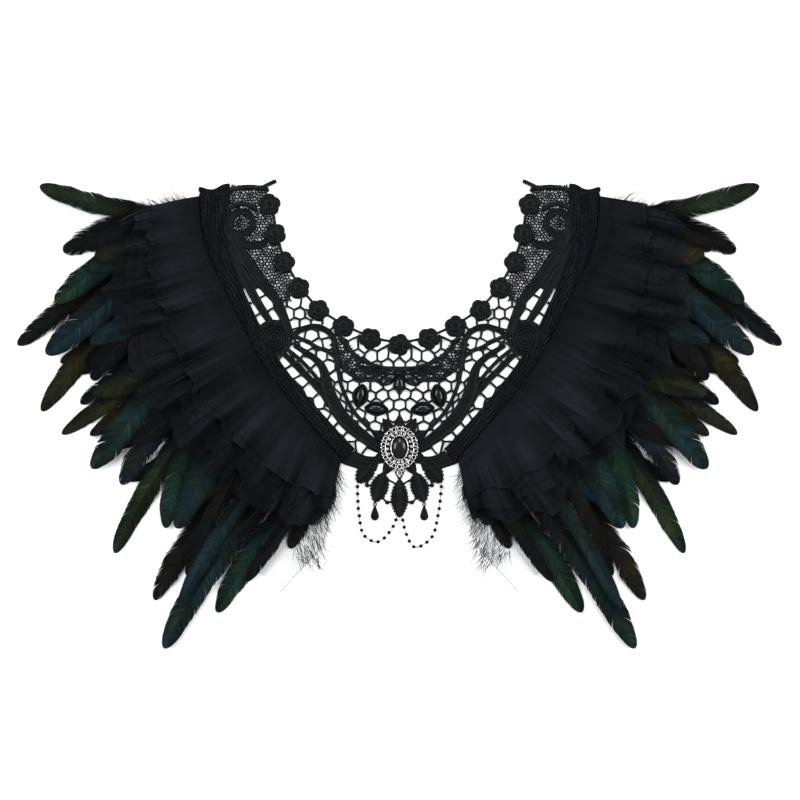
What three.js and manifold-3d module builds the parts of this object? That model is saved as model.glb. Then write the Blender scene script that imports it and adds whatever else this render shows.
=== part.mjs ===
// A black feather shoulder cape, laid flat and face up: a guipure lace collar with a
// jewelled front, and on each side a wing of gathered net ruffles over rooster feathers.
// Millimetres. +X is the right of the cape as it is seen, +Y is towards the neck opening
// and +Z is up. The origin is under the middle of the cape, on the surface it lies on.

import * as THREE from "three";
import { mergeVertices } from "three/addons/utils/BufferGeometryUtils.js";
import Module from "manifold-3d";

const wasm = await Module();
wasm.setup();

// Driving dimensions.
const SEAM_GAP = 0.3; // between pieces that are sewn or set on each other
const CLOTH = 1.0; // wall of the net, with its gathers pressed together
const LACE_PLATE = 1.4; // ground of the lace collar
const LACE_MOTIF = 2.3; // height of the lace's flowers, leaves and scrolls
const SUNK = 0.5; // where a motif starts inside the ground
const ON_MOTIFS = LACE_MOTIF + 0.2 + SEAM_GAP; // where a jewel starts above the tallest motif
const BAR_WIDTH = 1.5; // the bars between the gaps of the lace
const CELL_PITCH = 10; // spacing of the gaps in the lace's open ground
const LEAST_GAP = 4.4; // a narrower gap isn't cut
const FLOWER_RADIUS = 9;
const FLOWERS_A_SIDE = 7;
const WING_START = 0.045; // the part of the seam that holds each wing
const WING_END = 0.99;
const FOLDS = 10; // large folds of each ruffle
const FOLD_HEIGHT = 4.6; // half the height of a fold at the hem
const TIER_PITCH = 3.6; // height of one ruffle above the next, over the feathers
const QUILL_LEVEL = 1.5; // height of one feather above the one that it crosses
const BLADE_HALF = 0.5; // half the thickness of a feather at its shaft
const TAPE_FROM = 6; // the feather tapes, from the seam outwards
const TAPE_TO = 12;
const TAPE_THICK = 1.4;
const IN_TAPE = 3; // a quill's length inside its tape
const SPREAD_LENGTH = 12; // over which a feather leaves its tape for its own level
const BEAD_RADIUS = 1.2;

// The seam where the lace's outer edge holds the left wing, from the shoulder down.
const SEAM = [
  [-171, 195],
  [-165, 146],
  [-143, 97],
  [-117, 46],
  [-86, 5],
  [-48, -37],
];
// The neckline, through the middles of the left flowers, down to the one in the centre.
const NECKLINE = [
  [-110.5, 180],
  [-99.5, 134],
  [-72, 93],
  [-31, 68.5],
  [0, 61],
];

// Long feathers of the left wing: seam is how far down the seam the quill starts, from 0
// to 1, tipX and tipY are where it ends, width is its widest, bend is the sideways bow
// as a share of its length and layer is the tape that it is sewn to, 0 the lowest.
const FEATHERS = [
  { seam: 0.05, tipX: -285.7, tipY: 140.1, width: 23.8, bend: -0.02, layer: 0 },
  { seam: 0.09, tipX: -324.6, tipY: 61.0, width: 21.2, bend: -0.00, layer: 0 },
  { seam: 0.10, tipX: -305.5, tipY: 196.0, width: 18.0, bend: 0.05, layer: 1 },
  { seam: 0.14, tipX: -292.0, tipY: 96.2, width: 22.4, bend: -0.07, layer: 1 },
  { seam: 0.15, tipX: -299.9, tipY: 53.0, width: 25.6, bend: 0.00, layer: 2 },
  { seam: 0.22, tipX: -304.0, tipY: 4.5, width: 20.6, bend: -0.05, layer: 0 },
  { seam: 0.29, tipX: -261.0, tipY: 31.0, width: 26.0, bend: -0.06, layer: 2 },
  { seam: 0.40, tipX: -271.0, tipY: 11.0, width: 19.3, bend: 0.00, layer: 1 },
  { seam: 0.41, tipX: -261.3, tipY: -44.1, width: 25.8, bend: -0.01, layer: 1 },
  { seam: 0.48, tipX: -236.0, tipY: -57.9, width: 26.0, bend: -0.03, layer: 2 },
  { seam: 0.52, tipX: -287.0, tipY: -15.0, width: 15.8, bend: -0.04, layer: 0 },
  { seam: 0.55, tipX: -262.9, tipY: -15.9, width: 16.9, bend: -0.03, layer: 0 },
  { seam: 0.58, tipX: -189.2, tipY: -94.9, width: 24.8, bend: 0.01, layer: 2 },
  { seam: 0.58, tipX: -242.0, tipY: -116.1, width: 19.2, bend: -0.05, layer: 0 },
  { seam: 0.60, tipX: -198.5, tipY: -94.9, width: 20.9, bend: -0.10, layer: 1 },
  { seam: 0.74, tipX: -180.7, tipY: -135.1, width: 16.6, bend: -0.03, layer: 2 },
  { seam: 0.80, tipX: -208.0, tipY: -156.0, width: 21.8, bend: -0.05, layer: 0 },
  { seam: 0.83, tipX: -188.0, tipY: -163.8, width: 14.4, bend: -0.04, layer: 2 },
  { seam: 0.90, tipX: -200.0, tipY: -197.0, width: 23.0, bend: -0.05, layer: 1 },
  { seam: 0.95, tipX: -130.0, tipY: -140.0, width: 14.0, bend: 0.00, layer: 1 },
  { seam: 0.96, tipX: -155.0, tipY: -166.5, width: 21.0, bend: -0.05, layer: 0 },
  { seam: 0.98, tipX: -77.8, tipY: -91.0, width: 20.3, bend: 0.07, layer: 2 },
];
// Shorter feathers that fill in between: how many each layer has, along which part of
// the seam, and how far they reach as a share of the common reach.
const FILLERS = [
  { layer: 0, count: 2, from: 0.25, to: 0.9, reach: 1, width: 20 },
  { layer: 1, count: 3, from: 0.05, to: 0.9, reach: 0.97, width: 20 },
  { layer: 2, count: 4, from: 0.05, to: 0.92, reach: 0.94, width: 20 },
];

// Ruffles from the top one down: the gathered edge, as distances from the seam and
// heights, and the hem as a share of the lowest ruffle's reach.
const RUFFLES = [
  { name: "ruffle_top", edge: [[-5, 1.8], [0.6, 1.8], [4.6, 10.4]], hem: 0.62, tier: 2 },
  { name: "ruffle_middle", edge: [[6, 8.4], [12, 8.4]], hem: 0.82, tier: 1 },
  { name: "ruffle_low", edge: [[6, 6.9], [12, 6.9]], hem: 1, tier: 0 },
];

// Scrolls and leaves of the left half of the lace: widths at the start, the middle and
// the end, along a smooth line.
const SCROLLS = [
  { widths: [6, 9, 5], line: [[-150, 184], [-142, 153], [-121, 119], [-103, 96], [-92, 69]] },
  { widths: [2.5, 5, 3.5], line: [[-139, 132], [-126, 104], [-111, 80]] },
  { widths: [4, 10, 7], line: [[-90, 61], [-67, 44], [-60, 20], [-47, -2], [-25, -21], [-14, -29]] },
  { widths: [4, 5, 3], line: [[-100, 55], [-84, 39], [-69, 24], [-60, 8]] },
  { widths: [4, 5, 4], line: [[-93, 66], [-83, 74], [-69, 76], [-57, 68], [-55, 52]] },
  { widths: [3, 3, 3], line: [[-52, 70], [-44, 59], [-33, 49], [-17, 42], [2, 41]] },
  { widths: [3, 3, 3], line: [[-57, 66], [-51, 45], [-36, 33], [-18, 31], [2, 32.5]] },
  { widths: [2, 6, 2], line: [[-37, 44], [-24, 38.5], [-10, 36.5]] },
  { widths: [4, 4, 4], line: [[-159, 189], [-151, 190], [-142, 193], [-128, 195], [-111, 193]] },
  { widths: [6, 6, 6], line: [[-40.4, -31.6], [-29, -36.6], [-17, -37]] },
];
const CRESCENT = [5, 6]; // the scrolls that are the crescent's upper and lower cord
// Rows of gaps between two scrolls, like the rungs of a ladder: first and last middle.
const LADDERS = [
  { from: [-120, 108], to: [-106, 85], count: 3 },
  { from: [-131, 101], to: [-116, 83], count: 3 },
  { from: [-88, 55], to: [-70, 37], count: 3 },
  { from: [-97, 50], to: [-88, 38], count: 2 },
  { from: [-84, 31], to: [-67, 13], count: 3 },
  { from: [-58, -4], to: [-24, -30], count: 5 },
];
// Leaves of lace: middle, length, width and the direction of the long axis in degrees.
const STONE_LEAVES = [
  { at: [-33.3, 17.6], length: 21, width: 12.5, angle: 76 },
  { at: [-19.6, 6.5], length: 21, width: 11, angle: -5 },
  { at: [-9.8, 31.5], length: 17.5, width: 8.5, angle: 213 },
];
const MIDDLE_STONE_LEAF = { at: [0, 27], length: 18, width: 8.5, angle: 90 };
const HANGING_LEAVES = [
  { at: [-29, -47.5], length: 22, width: 13.5, angle: 52 },
  { at: [-17, -60], length: 27, width: 14, angle: 73 },
];
const MIDDLE_LEAF = { at: [0, -69.5], length: 33, width: 13.5, angle: 90 };
const LOTUS = { at: [0, -26], petals: 12, tip: 28, root: 19 };
const ROSETTE = { at: [-107, 66.5], radii: [12.5, 6.5], heights: [2.1, 3.1] };
const BROOCH = { at: [0, -26.5], halfWidth: 15.5, halfLength: 18, thick: 2.4, lobes: 18 };
const BROOCH_STONE = { halfWidth: 6.2, halfLength: 8.8, height: 5 };
const STONE = { length: 13, width: 5.6, height: 2.6 };
// Bead strings, as they lie: each runs from an outer hanging leaf to the middle one.
const BEAD_STRINGS = {
  bead_string_left: [[-35.8, -56.5], [-34.5, -82], [-30, -101], [-18.5, -106.5], [-7, -96], [-1.9, -84.7]],
  bead_string_right: [[35.8, -56.5], [33, -82], [27, -103], [13, -111], [5.5, -99], [2.2, -84.8]],
};
const DROPS = { drop_left: [-20.95, -81.6], drop_right: [20.95, -81.6] };

// Returns x limited to 0 to 1 and eased at both ends.
function smooth(x) {
  const t = Math.min(1, Math.max(0, x));
  return t * t * (3 - 2 * t);
}

// A repeatable number from 0 to 1 for a pair of whole numbers.
function scatter(i, j) {
  const value = Math.sin(i * 12.9898 + j * 78.233) * 43758.5453;
  return value - Math.floor(value);
}

function curveThrough(points) {
  return new THREE.SplineCurve(points.map(([x, y]) => new THREE.Vector2(x, y)));
}

const seamCurve = curveThrough(SEAM);
const neckCurve = curveThrough(NECKLINE);

// The way that feathers and folds run at a place along the seam, fanning out downwards.
function fanDirection(s) {
  const angle = THREE.MathUtils.degToRad(192 - 10 * s + 76 * s * s);
  return new THREE.Vector2(Math.cos(angle), Math.sin(angle));
}

// A point of the left wing: s along the seam and d outwards from it.
function wingPoint(s, d) {
  return seamCurve.getPoint(s).addScaledVector(fanDirection(s), d);
}

// How far the lowest ruffle reaches from the seam.
function ruffleReach(s) {
  return 58 + 14 * s + 34 * Math.sin(Math.PI * s) - 22 * smooth((s - 0.85) / 0.15);
}

// How far the shorter feathers reach from the seam.
function featherReach(s) {
  return 80 + 62 * Math.sin(Math.PI * s) ** 1.3;
}

// Merges a geometry's shared corners, so that it can be joined or cut.
function bare(geometry) {
  const copy = geometry.index ? geometry.toNonIndexed() : geometry.clone();
  const plain = new THREE.BufferGeometry().setAttribute("position", copy.getAttribute("position"));
  return mergeVertices(plain, 1e-4);
}

function solid(geometry) {
  const g = bare(geometry);
  return new wasm.Manifold(
    new wasm.Mesh({
      numProp: 3,
      vertProperties: new Float32Array(g.attributes.position.array),
      triVerts: new Uint32Array(g.index.array),
    }),
  );
}

// The largest body of a solid, as a geometry. Corners nearer than WELD become one.
function largest(made) {
  const WELD = 0.02;
  const bodies = made.decompose().sort((a, b) => b.volume() - a.volume());
  const mesh = bodies[0].getMesh();
  const g = new THREE.BufferGeometry();
  const corners = new Float32Array(mesh.numVert * 3);
  for (let i = 0; i < mesh.numVert; i++)
    for (let k = 0; k < 3; k++) corners[3 * i + k] = mesh.vertProperties[i * mesh.numProp + k];
  g.setAttribute("position", new THREE.BufferAttribute(corners, 3));
  g.setIndex(new THREE.BufferAttribute(new Uint32Array(mesh.triVerts), 1));
  const welded = mergeVertices(g, WELD);
  const index = [];
  for (let i = 0; i < welded.index.count; i += 3) {
    const [a, b, c] = welded.index.array.slice(i, i + 3);
    if (a !== b && b !== c && c !== a) index.push(a, b, c);
  }
  welded.setIndex(index);
  welded.computeVertexNormals();
  return welded;
}

// The same geometry on the other side of the cape.
function mirrored(geometry) {
  const g = bare(geometry);
  g.scale(-1, 1, 1);
  const index = g.index.array;
  for (let i = 0; i < index.length; i += 3) [index[i + 1], index[i + 2]] = [index[i + 2], index[i + 1]];
  return g;
}

// A flat outline made a plate from z0 to z1.
function plate(points, z0, z1, hole) {
  const shape = new THREE.Shape(points.map((p) => new THREE.Vector2(p.x, p.y)));
  if (hole) shape.holes.push(new THREE.Path(hole.map((p) => new THREE.Vector2(p.x, p.y))));
  const g = new THREE.ExtrudeGeometry(shape, { depth: z1 - z0, bevelEnabled: false });
  return g.translate(0, 0, z0);
}

// A closed skin through rings of points. Each ring is a list of Vector3, all as long.
function loft(rings) {
  const n = rings[0].length;
  const corners = rings.flat().flatMap((p) => [p.x, p.y, p.z]);
  const index = [];
  for (let i = 0; i + 1 < rings.length; i++)
    for (let k = 0; k < n; k++) {
      const a = i * n + k;
      const b = i * n + ((k + 1) % n);
      index.push(a, b, a + n, b, b + n, a + n);
    }
  for (let k = 1; k + 1 < n; k++) {
    const last = (rings.length - 1) * n;
    index.push(0, k + 1, k, last, last + k, last + k + 1);
  }
  const g = new THREE.BufferGeometry();
  g.setAttribute("position", new THREE.Float32BufferAttribute(corners, 3));
  g.setIndex(index);
  g.computeVertexNormals();
  return g;
}

// A closed skin through rings, turned so that its faces point outwards.
function closedLoft(rings) {
  const made = loft(rings);
  if (solid(made).volume() > 0) return made;
  return loft(rings.map((ring) => [...ring].reverse()));
}

// A sheet of even thickness on a surface: point(i, j) gives its middle, i along and j
// across. Its four edges are closed.
function sheet(rows, columns, thickness, point) {
  const middle = [];
  for (let i = 0; i <= rows; i++)
    for (let j = 0; j <= columns; j++) middle.push(point(i / rows, j / columns));
  const at = (i, j) => middle[i * (columns + 1) + j];
  const corners = [];
  for (const side of [1, -1])
    for (let i = 0; i <= rows; i++)
      for (let j = 0; j <= columns; j++) {
        const along = at(Math.min(i + 1, rows), j).clone().sub(at(Math.max(i - 1, 0), j));
        const across = at(i, Math.min(j + 1, columns)).clone().sub(at(i, Math.max(j - 1, 0)));
        const normal = along.cross(across).normalize();
        if (normal.z < 0) normal.negate();
        const p = at(i, j).clone().addScaledVector(normal, (side * thickness) / 2);
        corners.push(p.x, p.y, p.z);
      }
  const wide = columns + 1;
  const under = (rows + 1) * wide;
  const index = [];
  const quad = (a, b, c, d) => index.push(a, b, c, a, c, d);
  for (let i = 0; i < rows; i++)
    for (let j = 0; j < columns; j++) {
      const a = i * wide + j;
      quad(a, a + 1, a + wide + 1, a + wide);
      quad(under + a, under + a + wide, under + a + wide + 1, under + a + 1);
    }
  for (let i = 0; i < rows; i++) {
    const a = i * wide;
    const b = a + columns;
    quad(a, a + wide, under + a + wide, under + a);
    quad(b, under + b, under + b + wide, b + wide);
  }
  for (let j = 0; j < columns; j++) {
    const a = j;
    const b = rows * wide + j;
    quad(a, under + a, under + a + 1, a + 1);
    quad(b, b + 1, under + b + 1, under + b);
  }
  const g = new THREE.BufferGeometry();
  g.setAttribute("position", new THREE.Float32BufferAttribute(corners, 3));
  g.setIndex(index);
  if (solid(g).volume() < 0)
    for (let i = 0; i < index.length; i += 3) [index[i + 1], index[i + 2]] = [index[i + 2], index[i + 1]];
  g.setIndex(index);
  g.computeVertexNormals();
  return g;
}

// Points along a curve with its sideways direction, n + 1 of them.
function stations(curve, n) {
  return Array.from({ length: n + 1 }, (_, i) => {
    const t = i / n;
    const along = curve.getTangent(t);
    return { t, p: curve.getPoint(t), side: new THREE.Vector2(-along.y, along.x) };
  });
}

// A flat band along a line, wide as three widths say, pointed at neither end.
function scroll({ widths, line }, z0, z1, steps = line.length) {
  const places = stations(curveThrough(line), steps);
  const left = places.map(({ t, p, side }) => p.clone().addScaledVector(side, scrollHalf(widths, t)));
  const right = places.map(({ t, p, side }) => p.clone().addScaledVector(side, -scrollHalf(widths, t)));
  return plate([...left, ...right.reverse()], z0, z1);
}

// Half the width of a scroll at a share of its line.
function scrollHalf([start, middle, end], t) {
  const full = t < 0.5 ? start + (middle - start) * smooth(2 * t) : middle + (end - middle) * smooth(2 * t - 1);
  return full / 2;
}

// A pointed oval outline.
function leafOutline({ at, length, width, angle }, steps = 4) {
  const turn = THREE.MathUtils.degToRad(angle);
  const points = [];
  for (const side of [1, -1])
    for (let i = 0; i < steps; i++) {
      const u = i / steps;
      const along = side * (u - 0.5) * length;
      const out = (side * width * Math.sin(Math.PI * u) ** 0.8) / 2;
      points.push(
        new THREE.Vector2(
          at[0] + along * Math.cos(turn) - out * Math.sin(turn),
          at[1] + along * Math.sin(turn) + out * Math.cos(turn),
        ),
      );
    }
  return points;
}

// A round outline whose radius follows a function of the angle.
function roundOutline(x, y, count, radius, turn = 0) {
  return Array.from({ length: count }, (_, i) => {
    const a = (2 * Math.PI * i) / count;
    const r = radius(a);
    return new THREE.Vector2(x + r * Math.cos(a + turn), y + r * Math.sin(a + turn));
  });
}

// The lace collar.

// A five-petalled flower.
function flower(x, y, turn) {
  const petals = roundOutline(x, y, 20, (a) => FLOWER_RADIUS * (0.86 + 0.14 * Math.cos(5 * a)), turn);
  return plate(petals, SUNK - 0.1, LACE_MOTIF + 0.05);
}

function lotus() {
  const { at, petals, tip, root } = LOTUS;
  const count = petals * 2;
  const outline = roundOutline(at[0], at[1], count, (a) => {
    const part = Math.abs((((a * petals) / (2 * Math.PI) + 0.5) % 1) - 0.5) * 2;
    return tip + (root - tip) * part ** 1.3;
  });
  return plate(outline, SUNK + 0.2, LACE_MOTIF + 0.2);
}

function rosette() {
  const { at, radii, heights } = ROSETTE;
  const TURN = 0.2;
  return radii.map((r, i) => {
    const outline = roundOutline(at[0], at[1], 14 - 3 * i, () => r, TURN);
    return plate(outline, SUNK + 0.3 * (i + 1), heights[i]);
  });
}

// Width of the corded border, from the lace's outer edge inwards.
function borderWidth(s) {
  return 14 + 13 * (1 - smooth(s / 0.42)) * smooth((s + 0.1) / 0.1);
}

// The corded border: flat on the surface at its inner edge, and lifted over the wing's
// gathered edges at its outer one, with raised cords along it.
function border() {
  const RISE_FROM = 10.5; // from the outer edge inwards, where the border comes down
  const RISE_TO = 7;
  const LIFT = 2 * CLOTH + 2 * SEAM_GAP;
  const CORD = 0.8;
  const rings = [];
  const steps = 16;
  for (let i = 0; i <= steps; i++) {
    const s = i / steps;
    const p = seamCurve.getPoint(s);
    const along = seamCurve.getTangent(s);
    const inward = new THREE.Vector2(-along.y, along.x);
    const wide = borderWidth(s);
    const profile = [
      [0, LIFT],
      [RISE_TO, LIFT],
      [RISE_FROM, SUNK - 0.2],
      [wide, SUNK - 0.2],
      [wide, LACE_MOTIF],
      [RISE_FROM, LACE_MOTIF + 0.5],
      [RISE_TO - 0.8, LIFT + LACE_PLATE],
      [4, LIFT + LACE_PLATE],
      [1.5, LIFT + LACE_PLATE + CORD],
      [0, LIFT + LACE_PLATE - 0.4],
    ];
    rings.push(profile.map(([q, z]) => new THREE.Vector3(p.x + inward.x * q, p.y + inward.y * q, z)));
  }
  return closedLoft(rings);
}

// The lace's ground: from inside the border to the line of the flowers.
function groundOutline() {
  const INSIDE = 11.5; // the ground starts this far inside the outer edge
  const OVER = 1.5; // and ends this far beyond the middles of the flowers
  const LOWEST = new THREE.Vector2(-15, -40);
  const NECK_TOP = new THREE.Vector2(-111, 192.5);
  const outer = stations(seamCurve, 14).map(({ p, side }) => p.clone().addScaledVector(side, INSIDE));
  outer[0].y -= 1;
  const inner = stations(neckCurve, 14).map(({ p, side }) => p.clone().addScaledVector(side, OVER));
  const left = [...inner.reverse().slice(1), NECK_TOP, ...outer, LOWEST];
  return [...left, ...otherSide(left)];
}

// The edge that links the flowers on the neck side.
function neckEdge() {
  const line = stations(neckCurve, 6).map(({ p, side }) => {
    const q = p.clone().addScaledVector(side, 1.7);
    return [q.x, q.y];
  });
  return scroll({ widths: [2, 2, 2], line }, SUNK + 0.15, LACE_PLATE + 0.4, 8);
}

// What the gaps of the lace keep clear of, on the left half: the middle line of each
// motif, and how far it reaches to either side at each place of that line.
function keepOuts() {
  const BESIDE = 0.5; // ground left beside a motif
  const rows = [];
  const addLine = (line, half, steps = 14) => {
    for (const { t, p } of stations(curveThrough(line), steps)) rows.push({ p, reach: half(t) + BESIDE });
  };
  addLine(SEAM, (t) => borderWidth(t), 40);
  addLine(NECKLINE, () => 0.6);
  for (const { widths, line } of SCROLLS) addLine(line, (t) => scrollHalf(widths, t));
  for (const leaf of [...STONE_LEAVES, MIDDLE_STONE_LEAF])
    for (const share of [-0.3, 0, 0.3]) {
      const turn = THREE.MathUtils.degToRad(leaf.angle);
      const along = share * leaf.length;
      const p = new THREE.Vector2(leaf.at[0] + along * Math.cos(turn), leaf.at[1] + along * Math.sin(turn));
      rows.push({ p, reach: (leaf.width / 2) * (1 - Math.abs(share)) + BESIDE });
    }
  for (const p of flowerMiddles()) rows.push({ p, reach: 0.95 * FLOWER_RADIUS + BESIDE });
  rows.push({ p: new THREE.Vector2(...LOTUS.at), reach: 0.5 * (LOTUS.tip + LOTUS.root) + BESIDE });
  rows.push({ p: new THREE.Vector2(...ROSETTE.at), reach: ROSETTE.radii[0] + BESIDE });
  for (const share of [0, 0.25, 0.5, 0.75, 1]) rows.push({ p: crescentMiddle(share), reach: 4 });
  return rows;
}

// A point between the two cords of the crescent.
function crescentMiddle(share) {
  const upper = curveThrough(SCROLLS[CRESCENT[0]].line).getPoint(share);
  return upper.lerp(curveThrough(SCROLLS[CRESCENT[1]].line).getPoint(share), 0.5);
}

// Middles of the gaps of the lace's open ground, left half and middle. The net near the
// shoulders is too fine to cut.
function gapMiddles() {
  const FINE_NET_ABOVE = 96;
  const LOWEST = -34;
  const JITTER = 3.4;
  const rowHeight = CELL_PITCH * 0.87;
  const found = LADDERS.flatMap(({ from, to, count }) =>
    Array.from({ length: count }, (_, k) =>
      new THREE.Vector2(...from).lerp(new THREE.Vector2(...to), count > 1 ? k / (count - 1) : 0),
    ),
  );
  const inRows = found.slice();
  for (let j = 0; FINE_NET_ABOVE - j * rowHeight > LOWEST; j++)
    for (let i = 0; i < 15; i++) {
      const y = FINE_NET_ABOVE - j * rowHeight + (scatter(i, j) - 0.5) * JITTER;
      const column = i + (j % 2) / 2;
      const x = column === 0 ? 0 : -column * CELL_PITCH + (scatter(j, i + 31) - 0.5) * JITTER;
      const p = new THREE.Vector2(x, y);
      if (inRows.every((q) => q.distanceTo(p) > 0.75 * CELL_PITCH) && belowNeckline(p)) found.push(p);
    }
  return found;
}

// True if a point lies on the lace side of the neckline.
function belowNeckline(p) {
  const nearest = nearestTo(p, stations(neckCurve, 24));
  return nearest.side.dot(p.clone().sub(nearest.p)) < -2;
}

function nearestTo(p, places) {
  return places.reduce((a, b) => (a.p.distanceTo(p) < b.p.distanceTo(p) ? a : b));
}

function flowerMiddles() {
  return neckCurve.getSpacedPoints(FLOWERS_A_SIDE);
}

// The gap round one middle: what is nearer to it than to any other middle, less half a
// bar all round, and clear of the motifs.
function gapOutline(middle, middles, rows) {
  let outline = roundOutline(middle.x, middle.y, 8, () => 0.72 * CELL_PITCH);
  const cut = (towards, room) => {
    const normal = towards.clone().sub(middle);
    const distance = normal.length();
    if (distance < 1e-6 || distance > 2 * CELL_PITCH + room) return;
    normal.divideScalar(distance);
    outline = clipped(outline, normal, normal.dot(middle) + (room ? distance - room : distance / 2 - BAR_WIDTH / 2));
  };
  for (const other of middles) cut(other, 0);
  for (const { p, reach } of rows) cut(p, reach);
  return simplified(outline, 2.3);
}

// The part of a convex outline where normal . p is at most limit.
function clipped(outline, normal, limit) {
  const kept = [];
  outline.forEach((a, i) => {
    const b = outline[(i + 1) % outline.length];
    const da = normal.dot(a) - limit;
    const db = normal.dot(b) - limit;
    if (da <= 0) kept.push(a);
    if (da * db < 0) kept.push(a.clone().lerp(b, da / (da - db)));
  });
  return kept;
}

// The outline without corners that lie nearer than least to the next one.
function simplified(outline, least) {
  return outline.filter((p, i) => p.distanceTo(outline[(i + 1) % outline.length]) > least);
}

// The narrowest way across a convex outline.
function across(outline) {
  if (outline.length < 3) return 0;
  const ways = outline.map((a, i) => {
    const along = outline[(i + 1) % outline.length].clone().sub(a).normalize();
    return Math.max(...outline.map((p) => Math.abs(along.cross(p.clone().sub(a)))));
  });
  return Math.min(...ways);
}

const otherSide = (outline) => outline.map((p) => new THREE.Vector2(-p.x, p.y)).reverse();

// Outlines of all the gaps, both halves.
function gapOutlines() {
  const left = gapMiddles();
  const middles = [...left, ...otherSide(left.filter((p) => p.x < -1))];
  const rows = keepOuts();
  const all = [...rows, ...rows.map(({ p, reach }) => ({ p: new THREE.Vector2(-p.x, p.y), reach }))];
  const cut = left
    .map((p) => ({ p, outline: gapOutline(p, middles, all) }))
    .filter(({ outline }) => across(outline) > LEAST_GAP);
  return cut.flatMap(({ p, outline }) => (p.x < -1 ? [outline, otherSide(outline)] : [outline]));
}

function laceCollar() {
  const half = [
    ...flowerMiddles().slice(0, FLOWERS_A_SIDE).map((p, i) => flower(p.x, p.y, i * 0.5 + Math.PI / 2)),
    ...SCROLLS.map((c, i) => scroll(c, SUNK, LACE_MOTIF - 0.06 * (i % 3))),
    ...rosette(),
    ...STONE_LEAVES.map((l) => plate(leafOutline(l), SUNK + 0.1, LACE_MOTIF + 0.1)),
    ...HANGING_LEAVES.map((l) => plate(leafOutline(l, 5), 0, LACE_MOTIF + 0.15)),
    neckEdge(),
    border(),
    ...hangingBars(),
  ];
  const middle = [
    flower(0, NECKLINE.at(-1)[1], Math.PI / 2),
    lotus(),
    plate(leafOutline(MIDDLE_STONE_LEAF), SUNK + 0.1, LACE_MOTIF + 0.1),
    plate(leafOutline(MIDDLE_LEAF, 5), 0, LACE_MOTIF + 0.15),
  ];
  const gaps = gapOutlines().map((outline) => solid(plate(outline, -1, LACE_PLATE + 1)));
  const opened = solid(plate(groundOutline(), 0, LACE_PLATE)).subtract(wasm.Manifold.union(gaps));
  const motifs = [...half.flatMap((g) => [g, mirrored(g)]), ...middle].map(solid);
  return largest(wasm.Manifold.union([opened, ...motifs]));
}

// Bars with a small knot between the hanging leaves.
function hangingBars() {
  const KNOT = 1.7;
  const bars = [
    [[-26, -53], [-27.5, -58.5], [-20, -57]],
    [[-15, -67], [-10.5, -73], [-3, -70]],
    [[-18, -52], [-11, -53], [-2, -58]],
  ];
  return bars.flatMap((line) => [
    scroll({ widths: [BAR_WIDTH, BAR_WIDTH, BAR_WIDTH], line }, 0, LACE_PLATE, 2),
    plate(roundOutline(line[1][0], line[1][1], 6, () => KNOT), 0, LACE_MOTIF),
  ]);
}

// The wings.

// A panel of plain net under each wing, flat on the surface. It shows at its lower
// corner, where its straight hem comes out beyond the feathers.
function netPanel() {
  const OUTER = new THREE.SplineCurve(
    [[0, 48], [0.3, 82], [0.6, 104], [0.8, 120]].map(([s, d]) => new THREE.Vector2(s, d)),
  );
  const INNER = -6;
  const CORNER = { s: 0.94, d: 131 };
  const END = 72;
  const rows = 14;
  const outer = [];
  for (let i = 0; i <= rows; i++) {
    const q = OUTER.getPoint(i / rows);
    outer.push(wingPoint(Math.max(q.x, WING_START), q.y));
  }
  outer.push(wingPoint(CORNER.s, CORNER.d), wingPoint(1, END));
  const inner = Array.from({ length: rows + 1 }, (_, i) =>
    wingPoint(THREE.MathUtils.lerp(WING_START, 1, i / rows), INNER),
  );
  return plate([...outer, ...inner.reverse()], 0, CLOTH);
}

// Middle of a ruffle at a place: t along its folds and j outwards to its hem.
function rufflePoint(ruffle, t, j) {
  const s = WING_START + (WING_END - WING_START) * (t + 0.011 * Math.sin(10 * Math.PI * t));
  const hem = ruffleReach(s) * ruffle.hem * (1 + 0.05 * Math.sin(2 * Math.PI * FOLDS * t + 1.1 * ruffle.tier));
  const body = ruffle.tier === 2 ? [24, 24 + 0.45 * (hem - 24), hem] : [24, hem];
  const marks = [...ruffle.edge.map(([d]) => d), ...body];
  const k = Math.round(j * (marks.length - 1));
  const d = marks[k];
  const p = wingPoint(s, d);
  const wave = Math.sin(2 * Math.PI * FOLDS * t) * (0.8 + 0.2 * Math.sin(6.5 * Math.PI * t));
  const open = smooth((d - 12) / 60);
  const fold = FOLD_HEIGHT * open;
  const over = 15.6 + TIER_PITCH * ruffle.tier + fold;
  const z = k < ruffle.edge.length ? ruffle.edge[k][1] : over + fold * wave;
  return new THREE.Vector3(p.x, p.y, z);
}

function ruffleSheet(ruffle) {
  const columns = ruffle.edge.length + (ruffle.tier === 2 ? 2 : 1);
  return sheet(FOLDS * 4, columns, CLOTH, (i, j) => rufflePoint(ruffle, i, j));
}

// Height of a tape's middle.
function tapeHeight(layer) {
  return CLOTH + SEAM_GAP + TAPE_THICK / 2 + layer * (TAPE_THICK + SEAM_GAP);
}

// How far the pile of feathers is pressed down, far from the seam.
function settling(x, y) {
  const p = new THREE.Vector2(x, y);
  const away = Math.min(...stations(seamCurve, 10).map((q) => q.p.distanceTo(p)));
  return 1 - 0.4 * smooth((away - 80) / 140);
}

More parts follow.
